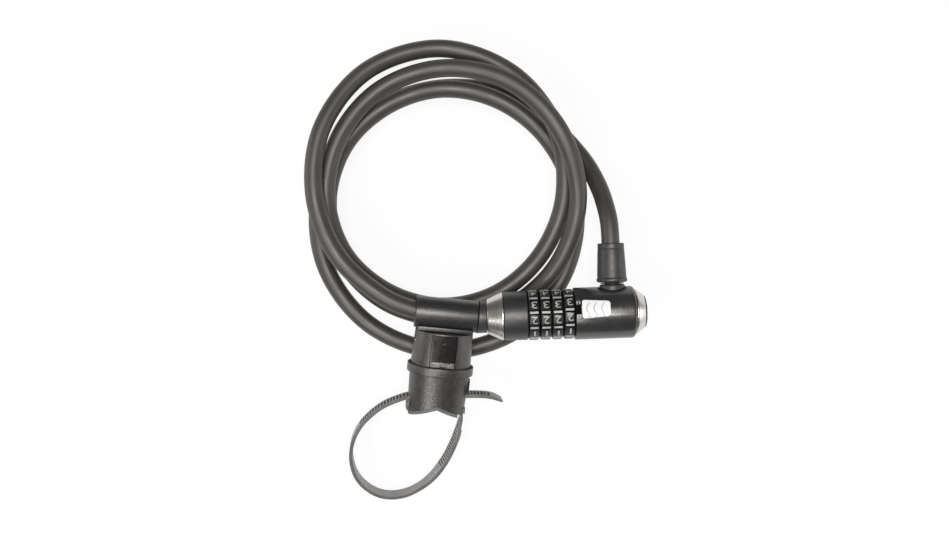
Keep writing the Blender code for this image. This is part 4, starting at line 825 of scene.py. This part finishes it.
# %% Cable boot and washer
BOOT_R, BOOT_TOP_R = 8.0, 7.2
BOOT_END, BOOT_BORE = BOOT_BOTTOM + BOOT_LENGTH, CABLE_D / 2 + 0.15
finished("boot_sleeve", turned(eased([
    (BOOT_BOTTOM, BOOT_BORE), (BOOT_BOTTOM, BOOT_R - 0.2), (BOOT_BOTTOM + 0.6, BOOT_R + 0.4),
    (BOOT_BOTTOM + 1.9, BOOT_R + 0.4), (BOOT_BOTTOM + 2.5, BOOT_R - 0.1), (BOOT_BOTTOM + 3.6, BOOT_R),
    (BOOT_END - 3.4, BOOT_TOP_R + 0.12), (BOOT_END - 3.1, BOOT_TOP_R - 0.15),
    (BOOT_END - 2.8, BOOT_TOP_R + 0.05), (BOOT_END, BOOT_TOP_R), (BOOT_END, BOOT_BORE)],
    0.6, 4, closed=True), 80), BOOT_PLACE, BOOT_BLACK, "lock_head", ["cable_boot"])
low, high, washer_r = BOSS_TOP + SEAT_GAP, BOOT_BOTTOM - SEAT_GAP, BOSS_R - 0.6
finished("boot_washer", turned(eased([(low, NECK_BORE), (low, washer_r), (high, washer_r), (high, NECK_BORE)],
                                     0.1, 2, closed=True), 64),
         BOOT_PLACE, RUBBER, "lock_head", ["neck_washer"])

# %% [markdown]
# ## The slide button
#
# The button is a curved white shell that narrows towards the end cap. It is the part that a turned
# skin and a tapered outline share, so a Boolean intersection makes it. Three curved grooves give the
# thumb its grip. Grey paint on their floors, and a short grey mark past the end of each, is painted
# shade.

# %% Button
BUTTON_FRONT, BUTTON_BACK, BUTTON_CORNER = 5.1, 4.0, 1.6
BUTTON_END = BUTTON_START + BUTTON_LENGTH
BUTTON_INNER = REAR_R + SEAT_GAP
BUTTON_SKIN = BUTTON_INNER + BUTTON_RISE
GRIPS, GRIP_SWELL, GRIP_HALF, GRIP_WIDTH, GRIP_DEPTH = (7.3, 11.2, 15.3), -1.7, 3.4, 0.8, 0.35
GRIP_SHADE_MARK_ANGLE = 15.2


def on_crest(work):
    """Stands a flat shape (x across, y along the head) on the crest."""
    moved(work, Matrix(((1, 0, 0, 0), (0, 0, 1, 0), (0, 1, 0, 0), (0, 0, 0, 1))))
    bmesh.ops.recalc_face_normals(work, faces=work.faces)
    return work


def arc_strip(along, width, low, high):
    """A thin strip across the button that bulges towards the dials, standing from low to high."""
    shares = [step / 5 - 1 for step in range(11)]
    ahead, behind = ([(GRIP_HALF * t, along + side * width / 2 + GRIP_SWELL * (1 - t ** 2)) for t in shares]
                     for side in (1, -1))
    return on_crest(slab(behind + ahead[::-1], low, high))


def make_button():
    """The shell with its stem, its three grooves and the painted shade in them."""
    front, back = BUTTON_START - 2, BUTTON_END + 2
    skin = turned(eased([(front, BUTTON_INNER), (front, BUTTON_SKIN), (back, BUTTON_SKIN),
                         (back, BUTTON_INNER)], 0.1, 1, True), 160)
    outline = [(-BUTTON_FRONT, BUTTON_START + 0.6), (BUTTON_FRONT, BUTTON_START + 0.6),
               (BUTTON_BACK, BUTTON_END), (-BUTTON_BACK, BUTTON_END)]
    shell = carve(skin, on_crest(slab(eased(outline, BUTTON_CORNER, 6, closed=True), 0, 30)), "INTERSECT")
    stem = brick((-STEM_HALF, 10.6, STEM_START),
                 (STEM_HALF, BUTTON_INNER + BUTTON_RISE / 2, STEM_START + STEM_LENGTH))
    shell = carve(shell, stem, "UNION")
    paint = bmesh.new()
    for place in GRIPS:
        shell = carve(shell, arc_strip(place, GRIP_WIDTH, BUTTON_SKIN - GRIP_DEPTH, BUTTON_SKIN + 2))
        # Grey paint on the groove's floor and the short mark past its end are painted shade.
        merge(paint, arc_strip(place, GRIP_WIDTH - 0.1, BUTTON_SKIN - 1.0, BUTTON_SKIN - GRIP_DEPTH + 0.07))
        stamp(paint, bar(0.35, -0.9, 0.9, 0.4), TOP + GRIP_SHADE_MARK_ANGLE, place - 0.6, BUTTON_SKIN - 0.1)
    finished("button_shell", shell, TILTED, BUTTON_PAINT, "button", ["slide_button"], 40)
    finished("button_grip_painted_shade", paint, TILTED, GRIP_PAINTED_SHADE, "button")


make_button()

# %% [markdown]
# ## The plug's ferrule
#
# Between the cone ring and the bracket's sleeve a short stretch of the plug's ferrule shows. Its back
# face is cut square to the cable, which leans a few degrees from the head's axis.

# %% Ferrule
FERRULE_R, FERRULE_LENGTH = 8.85, 4.9
COLLAR_FACE = CONE_TIP - SEAT_GAP
PLUG_BACK = COLLAR_FACE - FERRULE_LENGTH


def make_ferrule():
    """Nose, collar and back of the ferrule, with the seal's groove, cut square to the cable."""
    nose_end, nose_r, bore, back = CONE_TIP + 3.6, CONE_BORE_R - 0.35, 3.7, PLUG_BACK - 2.4
    profile = eased([(nose_end, bore), (nose_end, nose_r), (nose_end - 1.2, nose_r),
                     (nose_end - 1.2, nose_r - 1.4), (nose_end - 2.4, nose_r - 1.4), (nose_end - 2.4, nose_r),
                     (COLLAR_FACE, nose_r), (COLLAR_FACE, FERRULE_R), (back, FERRULE_R), (back, 0),
                     (COLLAR_FACE - 2.4, 0), (COLLAR_FACE - 2.4, bore)], 0.25, 3)
    ferrule = turned(profile + [profile[0]], 96)
    into_head = HEAD.inverted() @ axes(CABLE_END, sleeve_x, bracket_y, bracket_z)
    into_head.translation /= MM
    behind = moved(brick((-40, -40, -40), (0, 40, 40)), into_head)
    finished("plug_collar", carve(ferrule, behind), HEAD, BOOT_BLACK, "plug",
             ["plug_ferrule"])


make_ferrule()

# %% [markdown]
# ## The bracket's clamp
#
# A smooth sleeve goes round the cable. Under it a flat flange shows as a straight ledge, and below
# the ledge stands an oval barrel with a window for the release tab. The barrel is a turned shape
# squeezed to three quarters, with the window cut out of its front.

# %% Sleeve and flange
SLEEVE_R, SLEEVE_BORE_R, SLEEVE_FLARE = 8.7, 5.9, 0.9
FLANGE_HALF, FLANGE_START, FLANGE_END = (15.1, 8.0), 6.3, 8.9
SCREW_R, SCREW_HEAD_R, SCREW_TIP, SCREW_TAP_R = 1.5, 2.5, 6.4, 1.8
PIN_ROOM = 0.3
ON_SCREW = shift(0, 0, -4.0, ALONG_Y)


def clamp_sleeve():
    """The sleeve with its flange, bored for the cable."""
    half = SLEEVE_LENGTH / 2
    sleeve = moved(rod(-half, half, SLEEVE_R, 96, 0.6, 4), ALONG_X)
    flange = brick((-FLANGE_HALF[0], -FLANGE_END, -FLANGE_HALF[1]),
                   (FLANGE_HALF[0], -FLANGE_START, FLANGE_HALF[1]), 0.5)
    sleeve = carve(sleeve, flange, "UNION")
    flare = SLEEVE_BORE_R + SLEEVE_FLARE
    bore = turned([(-half - 1, 0), (-half - 1, flare), (-half, flare), (-half + 7.2, SLEEVE_BORE_R),
                   (half + 1, SLEEVE_BORE_R), (half + 1, 0)], 48)
    tap = rod(-SCREW_TIP + 0.3, -FLANGE_END - 2, SCREW_TAP_R, 24)
    return cut(sleeve, moved(bore, ALONG_X), moved(tap, ON_SCREW))


finished("sleeve_and_ledge", clamp_sleeve(), BRACKET, SLEEVE_NYLON, "clamp",
         ["clamp_sleeve"])

# %% Barrel of the bracket
POST_R, POST_FOOT_R, POST_FLATNESS, POST_END = 15.9, 16.7, 0.75, 30.5
TONGUE_R, TONGUE_END = 10.5, 40.2
WINDOW_HALF, WINDOW_TOP, WINDOW_END, WINDOW_FLOOR = 7.0, 10.0, 29.4, 5.8
ARM_HALF = WINDOW_HALF - 1.6
TAB_PIN_Y, TAB_PIN_Z, TAB_PIN_R = -15.3, 2.5, 1.0
ON_TAB_PIN = shift(0, TAB_PIN_Y, TAB_PIN_Z, ALONG_X)


def barrel():
    """The oval barrel with its tongue, window, arm well, pin hole and screw well."""
    top = -FLANGE_END - SEAT_GAP
    work = oval(turned(eased([
        (top, 0), (top, POST_R), (-POST_END, POST_FOOT_R), (-POST_END, TONGUE_R), (-TONGUE_END, TONGUE_R),
        (-TONGUE_END, 0)], 0.6, 4), 112))
    work = carve(work, brick((-WINDOW_HALF, -WINDOW_END, WINDOW_FLOOR), (WINDOW_HALF, -WINDOW_TOP, 20)))

    def on_jamb(corner):
        """Whether a corner lies on the window's upright sides, off its floor and its ends."""
        across, along, high = corner.co
        return (abs(abs(across) - WINDOW_HALF) < 0.01 and high > WINDOW_FLOOR + 2
                and -WINDOW_END + 0.1 < along < -WINDOW_TOP - 0.1)

    bevelled(work, [edge for edge in work.edges if all(map(on_jamb, edge.verts))], 0.4)
    half = ARM_HALF + SEAT_GAP
    arm = brick((-half, TAB_PIN_Y - 3.6, TAB_PIN_Z - 2.6), (half, TAB_PIN_Y + 2.6, WINDOW_FLOOR + 1))
    hole = rod(-20, 20, TAB_PIN_R + PIN_ROOM, 24)
    shank, head = SCREW_R + PIN_ROOM, SCREW_HEAD_R + PIN_ROOM
    well = turned([(top + 1, 0), (top + 1, shank), (top - 3, shank), (top - 3, head),
                   (-TONGUE_END - 1, head), (-TONGUE_END - 1, 0)], 32)
    return cut(work, arm, moved(hole, ON_TAB_PIN), moved(well, ON_SCREW))


finished("bracket_barrel", barrel(), BRACKET, GRAINED, "clamp", ["clamp_post"])
reach = POST_R - 0.3
finished("hinge_pin", moved(rod(-reach, reach, TAB_PIN_R, 24, 0.2, 2), ON_TAB_PIN), BRACKET, STEEL, "clamp",
         ["tab_pin"])

# %% [markdown]
# ## The release tab
#
# The tab is a glossy panel in the window. Along its lower edge runs a rounded lip with a notch for a
# fingernail. The lip's light grey colour is a painted reflection on glossy black. From the side it is
# a bent lever, so its side outline is extruded across.

# %% Release tab
TAB_TOP, TAB_PANEL, TAB_LIP, TAB_END = 10.9, 2.2, 2.3, 27.8
TAB_EAR = 1.9
UPRIGHT = Matrix(((0, 0, 1, 0), (1, 0, 0, 0), (0, 1, 0, 0), (0, 0, 0, 1)))


def tab_lever():
    """The lever from its side outline, with narrow arms at the pin."""
    top, bottom = -WINDOW_TOP - 0.35, -TAB_END
    under = TAB_TOP - TAB_PANEL
    side = [(top, under), (top, TAB_TOP), (bottom + TAB_LIP, TAB_TOP),
            (bottom + TAB_LIP - 0.5, TAB_TOP + 0.7), (bottom, TAB_TOP + 0.7), (bottom, under + 0.4),
            (TAB_PIN_Y - TAB_EAR - 1, under - 0.4)]
    side += [(TAB_PIN_Y + x, TAB_PIN_Z + z) for x, z in circle(TAB_EAR, 16, 180, 180)]
    side.append((TAB_PIN_Y + TAB_EAR + 0.3, under - 0.4))
    half = WINDOW_HALF - SEAT_GAP
    lever = moved(slab(side, -half, half, 0.25), UPRIGHT)
    beside = [brick((low, TAB_PIN_Y - 4, TAB_PIN_Z - 4), (high, TAB_PIN_Y + 4, WINDOW_FLOOR + 1.2))
              for low, high in ((-14, -ARM_HALF), (ARM_HALF, 14))]
    return cut(lever, *beside, moved(rod(-14, 14, TAB_PIN_R + PIN_ROOM, 24), ON_TAB_PIN))


def tab_lip():
    """The rounded lip along the tab's lower edge, with a notch for a fingernail."""
    half = WINDOW_HALF - SEAT_GAP - 0.05
    lip = brick((-half, -TAB_END + 0.05, TAB_TOP - 1.2), (half, -TAB_END + 3.1, TAB_TOP + 0.85), 0.5)
    return carve(lip, brick((-1.2, -TAB_END - 1, TAB_TOP - 0.2), (1.2, -TAB_END + 0.8, TAB_TOP + 2)))


def triangle(half, foot, tip, low, high):
    """A small upright triangle."""
    return slab([(-half, foot), (half, foot), (0.0, tip)], TAB_TOP + low, TAB_TOP + high)


finished("tab_lever", tab_lever(), BRACKET, TAB_GLOSS, "tab", ["release_tab"], 40)
# The lip's light grey finish is a painted reflection on glossy black.
finished("tab_lip", tab_lip(), BRACKET, LIP_PAINTED_SHEEN, "tab", ["release_tab"], 40)
mark = carve(triangle(1.1, -15.0, -14.0, -0.1, 0.08), triangle(0.5, -14.8, -14.35, -1, 1))
finished("tab_mark", mark, BRACKET, FAINT_MARK, "tab")

# %% [markdown]
# ## The bracket's socket
#
# The barrel plugs into a socket with a thick rim. The strap passes through a slot across it, a small
# pawl sits in the side, and the foot is a shallow V that straddles a frame tube. A rounded lip under
# the slot's open end eases the strap in.

# %% Socket
SOCKET_TOP, COLLAR_R, COLLAR_HEIGHT = 28.0, 18.3, 4.8
SOCKET_R, SOCKET_FOOT_R = 16.7, 15.6
VEE_PEAK, VEE_ANGLE, PAD, PAD_HALF = 49.3, 21.0, 1.9, 12.0
SLOT_AT, SLOT_TILT = 45.9, 6.3
STRAP, STRAP_WIDTH = 1.9, 9.0
LIP_AT, LIP_R, LIP_HALF, LIP_REACH = 52.4, 4.0, 4.0, 16.9
PAWL_X, PAWL_Y, PAWL_HALF, PAWL_PIN_R = 13.9, -38.4, 2.7, 0.6
PAWL_WALL, PAWL_CEILING, PAWL_R, PAWL_REACH, PAWL_RIBS = 12.0, -34.6, 1.5, 3.3, 4
ROOT = (14.6, -54.2)
VEE_SLOPE = math.tan(math.radians(VEE_ANGLE))


def socket_shape():
    """Rim, body, lip, well, slot, pawl chamber, strap pocket and V foot."""
    low = VEE_PEAK + SOCKET_R * VEE_SLOPE + 1
    skirt, well, shoulder = POST_FOOT_R + 0.35, TONGUE_R + 0.35, POST_END + 0.35
    collar = SOCKET_TOP + COLLAR_HEIGHT
    profile = eased([(-SOCKET_TOP, skirt), (-SOCKET_TOP, COLLAR_R), (-collar, COLLAR_R), (-collar, SOCKET_R),
                     (-low, SOCKET_FOOT_R), (-low, 0), (-TONGUE_END - 0.35, 0), (-TONGUE_END - 0.35, well),
                     (-shoulder, well), (-shoulder, skirt)], 0.45, 4)
    work = oval(turned(profile + [profile[0]], 128))
    lip = rod(-LIP_HALF, LIP_HALF, LIP_R, 48, 0.5)
    work = carve(work, moved(lip, shift(LIP_R - LIP_REACH, -LIP_AT, 0)), "UNION")
    wide = 1.3 * COLLAR_R
    side = -VEE_PEAK - wide * VEE_SLOPE
    foot = slab([(-wide, side), (-wide, -2 * low), (wide, -2 * low), (wide, side), (0, -VEE_PEAK)],
                -wide, wide)
    half = STRAP_WIDTH / 2 + 0.3
    slot = brick((-wide, -STRAP / 2 - 0.3, -half), (wide, STRAP / 2 + 0.3, half))
    slope = shift(0, -SLOT_AT, 0, Matrix.Rotation(math.radians(SLOT_TILT), 4, "Z"))
    room = PAWL_HALF + 0.35
    chamber = brick((PAWL_WALL, -SLOT_AT, -room), (wide, PAWL_CEILING, room))
    pin = rod(-PAWL_HALF - 3, PAWL_HALF + 3, PAWL_PIN_R + PIN_ROOM, 20)
    pocket = brick((ROOT[0] - 1.75, ROOT[1] - 2, -half), (wide, ROOT[1] + 3.4, half))
    return cut(work, foot, moved(slot, slope), chamber, moved(pin, shift(PAWL_X, PAWL_Y, 0)), pocket)


finished("bracket_socket", socket_shape(), BRACKET, GRAINED, "socket", ["socket_body"])

# %% Pawl and rubber saddle
PAWL = BRACKET @ Matrix.Translation(Vector((PAWL_X, PAWL_Y, 0)) * MM)


def pawl_shape():
    """The pawl from its side outline, with a ribbed back."""
    nose = -SLOT_AT + PAWL_X * math.tan(math.radians(SLOT_TILT)) + STRAP / 2 + 0.35 - PAWL_Y
    lever = PAWL_CEILING - PAWL_Y - 0.7
    outline = circle(PAWL_R, 14, 110, 110)
    outline += [(-0.3, nose + 1.2), (0.7, nose), (1.7, nose + 0.1), (PAWL_REACH, nose + 1.8)]
    back = nose + 1.8
    for index in range(PAWL_RIBS):
        foot, top = (back + (lever - back) * (index + share) / PAWL_RIBS for share in (0.35, 0.8))
        outline += [(PAWL_REACH, foot), (PAWL_REACH - 0.35, foot + 0.2), (PAWL_REACH - 0.35, top),
                    (PAWL_REACH, top + 0.2)]
    outline += [(PAWL_REACH, lever), (0.6, lever)]
    return carve(slab(outline, -PAWL_HALF, PAWL_HALF, 0.12), rod(-9, 9, PAWL_PIN_R + PIN_ROOM, 20))


finished("pawl_lever", pawl_shape(), PAWL, DIAL_BLACK, "pawl", ["strap_pawl"], 40)


def saddle():
    """A bent rubber pad under the V, trimmed to the socket's oval."""
    top = [(x, -VEE_PEAK - SEAT_GAP - abs(x) * VEE_SLOPE) for x in (0.5 - SOCKET_FOOT_R, 0, PAD_HALF)]
    foot = [(x, y - PAD) for x, y in top]
    width = SOCKET_FOOT_R * POST_FLATNESS
    trim = rod(5 - VEE_PEAK, -1.5 * VEE_PEAK, SOCKET_FOOT_R - 0.4, 96)
    return carve(slab(foot + top[::-1], -width, width), oval(trim), "INTERSECT")


finished("saddle_rubber", saddle(), BRACKET, SADDLE_GREY, "socket", ["saddle_pad"])

# %% [markdown]
# ## The strap
#
# A ratchet strap is one strip of nylon. It starts at the socket's side, hangs down in a loop that
# would go round a frame tube, and comes back through the slot. Its outer face carries a ladder of
# pits between two rails, where the pawl bites. The strip is a side outline extruded to the strap's
# width. One tool of many small bricks, each set square to the strap's line, cuts the pits, and the
# gaps between the fine ribs that the inner face has near the root. At the end the loop sags and leans
# a little, which lowers and shifts its points. The strip's two edges take a darker copy of its
# finish, which is painted shade.

# %% Strap
STRAP_ROUTE = (
    ROOT, (15.0, -57.4), (14.6, -60.8), (13.6, -67.3), (11.6, -75.4), (8.4, -84.5), (2.6, -95.4),
    (-3.8, -102.6), (-10.5, -107.4), (-18.4, -109.8), (-25.5, -109.3), (-32.8, -105.6), (-39.0, -99.2),
    (-42.8, -90.8), (-44.1, -82.0), (-42.9, -73.3), (-39.7, -65.8), (-34.3, -58.9), (-28.1, -53.6),
    (-21.5, -50.0), (-15.6, -47.6), (0.0, -45.9), (15.5, -44.2), (25.6, -43.4), (30.1, -43.6), (36.6, -44.9))
STRAP_SAG, SAG_TOP, SAG_RUN, STRAP_LEAN, STRAP_TWIST = 9.4, 57.0, 52.0, 0.06, 0.15
STRAP_STEP, STRAP_STRIDE = 0.25, 1.5
STRAP_RAIL, PIT, PIT_LENGTH, PIT_PITCH, PITS_START = 1.0, 1.4, 1.15, 1.86, 0.61
NECK, NECK_STEP = 9.6, 0.5
RIBS_START, RIBS_END, RIB_PITCH = 5.0, 36.0, 1.7


def strap_shape():
    """The strip with its pits and ribs, from the root to the pointed tail."""
    line, length = spaced(catmull([(x, y, 0) for x, y in STRAP_ROUTE], LINE_STEPS), STRAP_STEP)
    stride = length / (len(line) - 1)

    def facing(where):
        """The point there, the heading and the outward normal."""
        at = min(len(line) - 1, max(0, round(where / stride)))
        heading = (line[min(at + 2, len(line) - 1)] - line[max(at - 2, 0)]).normalized()
        return line[at], heading, up.cross(heading)

    def beside(where, rise):
        """A point of the outline, raised from the middle of the strip."""
        point, _, outward = facing(where)
        return (point + outward * rise)[:2]

    tip = 3 * PIT_PITCH
    outer = [beside(where, STRAP / 2 - NECK_STEP) for where in (0, NECK / 3, NECK * 0.66, NECK - NECK_STEP)]
    count = int((length - tip - NECK) / STRAP_STRIDE)
    outer += [beside(NECK + step * STRAP_STRIDE, STRAP / 2) for step in range(count)]
    outer += [beside(length - back, rise) for back, rise in
              ((tip, STRAP / 2), (tip / 2, STRAP / 4), (0.4, 0.0), (0, -0.35))]
    inner = [beside(length - 0.6, -STRAP / 2)]
    count = int(length / STRAP_STRIDE)
    inner += [beside(length - step * STRAP_STRIDE, -STRAP / 2) for step in range(1, count)]
    inner.append(beside(0, -STRAP / 2))
    knuckle = [(ROOT[0] + across, ROOT[1] + along) for across, along in
               ((-1.45, 0), (-1.45, 3.1), (1.45, 3.1), (1.45, 0))]
    work = slab(outer + inner + knuckle, -STRAP_WIDTH / 2, STRAP_WIDTH / 2, 0.12, 1)
    tools = bmesh.new()

    def add_tool(where, side, size):
        """A brick that cuts into the outer face (side 1) or the inner one (side -1)."""
        point, heading, outward = facing(where)
        placement = Matrix((heading, outward, up)).transposed().to_4x4() @ Matrix.Diagonal((*size, 1))
        placement.translation = point + outward * side * STRAP / 2
        cube = bmesh.ops.create_cube(tools, size=1.0)["verts"]
        bmesh.ops.transform(tools, matrix=placement, verts=cube)

    first = PITS_START * length
    for index in range(int((length - tip - first) / PIT_PITCH)):
        add_tool(first + PIT_PITCH * index, 1, (PIT_LENGTH, 2 * PIT, STRAP_WIDTH - 2 * STRAP_RAIL))
    for index in range(int((RIBS_END - RIBS_START) / RIB_PITCH)):
        add_tool(RIBS_START + RIB_PITCH * index, -1, (0.8, 1.3, STRAP_WIDTH - 1.6))
    work = carve(work, tools)
    work.normal_update()
    # The strip's two edges, facing across its width, take the darker copy of its finish: painted shade.
    for face in work.faces:
        face.material_index = int(abs(face.normal.z) > 0.5)
    for vertex in work.verts:
        below = max(0.0, (-SAG_TOP - vertex.co.y) / SAG_RUN)
        vertex.co.y -= STRAP_LEAN * min(1.0, 2 * below) * vertex.co.z
        right = min(1.0, max(0.0, (vertex.co.x + 4) / 10))
        vertex.co.x += STRAP_TWIST * min(1.0, 5 * below) * right * vertex.co.z
        vertex.co.z -= STRAP_SAG * below ** 2
    bmesh.ops.triangulate(work, faces=[face for face in work.faces if len(face.verts) > 4])
    return work


strip = finished("ratchet_strap", strap_shape(), BRACKET, STRAP_FINISH, "socket", ["strap"],
                 25)
strip.data.materials.append(STRAP_EDGE_PAINTED_SHADE)

# %% [markdown]
# ## The pieces that stay as they are
#
# The rest of the model is inside the lock or is small and plain: the bolt, the coding rings, springs,
# screws and the pawl. Their solids are right already, so they only get a finish.

# %% Finishes of the plain parts
PLAIN_PARTS = {
    STEEL: ("wave_washer", "anchor_block", "anchor_screw", "button_spring", "latch_bolt", "clamp_screw",
            "tab_spring", "pawl_pin"),
    BRASS: ("coding_ring_1", "coding_ring_2", "coding_ring_3", "coding_ring_4"),
    BLACKENED: ("lock_core", "cable_anchor", "latch_plate"),
    RUBBER: ("plug_seal",)}
for look, names in PLAIN_PARTS.items():
    for name in names:
        mesh = frame["nodes"][name].data
        mesh.materials.clear()
        mesh.materials.append(look)
    print(f"{look.name}: {len(names)} plain parts")

# %% [markdown]
# ## The studio
#
# A pale floor, an even dim room and four soft lamps. The lamp right over the lock draws the soft
# streak along every crest. The floor is white to the camera and in reflections, and a tenth of it is
# left to the lamps, so that the lock's shadow stays. The room is white to the camera too, and dim to
# everything else.


# %% Floor
def seen_by(tree, *rays):
    """1 for rays of these kinds, and 0 for the rest."""
    path = tree.nodes.new("ShaderNodeLightPath")
    value = path.outputs[rays[0]]
    for ray in rays[1:]:
        either = tree.nodes.new("ShaderNodeMath")
        either.operation = "MAXIMUM"
        tree.links.new(value, either.inputs[0])
        tree.links.new(path.outputs[ray], either.inputs[1])
        value = either.outputs[0]
    return value


FLOOR_SIZE, FLOOR_DROP, FLOOR_WHITE = 30.0, 0.6, 0.9
floor_work = bmesh.new()
bmesh.ops.create_grid(floor_work, x_segments=1, y_segments=1, size=FLOOR_SIZE / 2)
floor = put("floor", as_mesh("floor", floor_work))
floor.data.transform(shift(0, 0, -FLOOR_DROP * MM))
floor_finish, tree, shader, _ = new_finish("pale_floor")
shader.inputs["Base Color"].default_value = (0.86, 0.86, 0.86, 1)
shader.inputs["Roughness"].default_value = 0.9
glow = tree.nodes.new("ShaderNodeEmission")
either = tree.nodes.new("ShaderNodeMixShader")
lit = seen_by(tree, "Is Camera Ray", "Is Glossy Ray", "Is Transmission Ray")
tree.links.new(spread(tree, lit, 0.0, FLOOR_WHITE, 0, 1), either.inputs["Fac"])
tree.links.new(shader.outputs["BSDF"], either.inputs[1])
tree.links.new(glow.outputs["Emission"], either.inputs[2])
tree.links.new(either.outputs["Shader"], tree.nodes["Material Output"].inputs["Surface"])
floor.data.materials.append(floor_finish)
print("floor:", FLOOR_SIZE, "m")

# %% Lamps and room
MIDDLE = Vector((-0.01, 0.05, 0.02))
LAMPS = {
    "crest_lamp": ((-0.01, 0.1, 1.5), (0.62, 0.62), 17),
    "low_left_lamp": ((-0.7, -0.72, 1.5), (0.65, 0.4), 11),
    "left_lamp": ((-1.3, 0.2, 0.4), (0.8, 0.6), 3.5),
    "right_lamp": ((1.3, -0.1, 0.4), (0.8, 0.6), 3.5)}
ROOM_LEVEL = 0.11
for name, (place, size, watts) in LAMPS.items():
    lamp = put(name, bpy.data.lights.new(name, "AREA"))
    lamp.data.shape = "RECTANGLE"
    lamp.data.size, lamp.data.size_y = size
    lamp.data.energy = watts
    lamp.location = place
    lamp.rotation_euler = (MIDDLE - Vector(place)).to_track_quat("-Z", "Y").to_euler()
room = bpy.data.worlds.new("room")
bpy.context.scene.world = room
room.use_nodes = True
tree = room.node_tree
background = tree.nodes["Background"]
background.inputs["Color"].default_value = (1, 1, 1, 1)
level = spread(tree, seen_by(tree, "Is Camera Ray", "Is Transmission Ray"), ROOM_LEVEL, 1.0, 0, 1)
tree.links.new(level, background.inputs["Strength"])
print("lamps:", len(LAMPS))
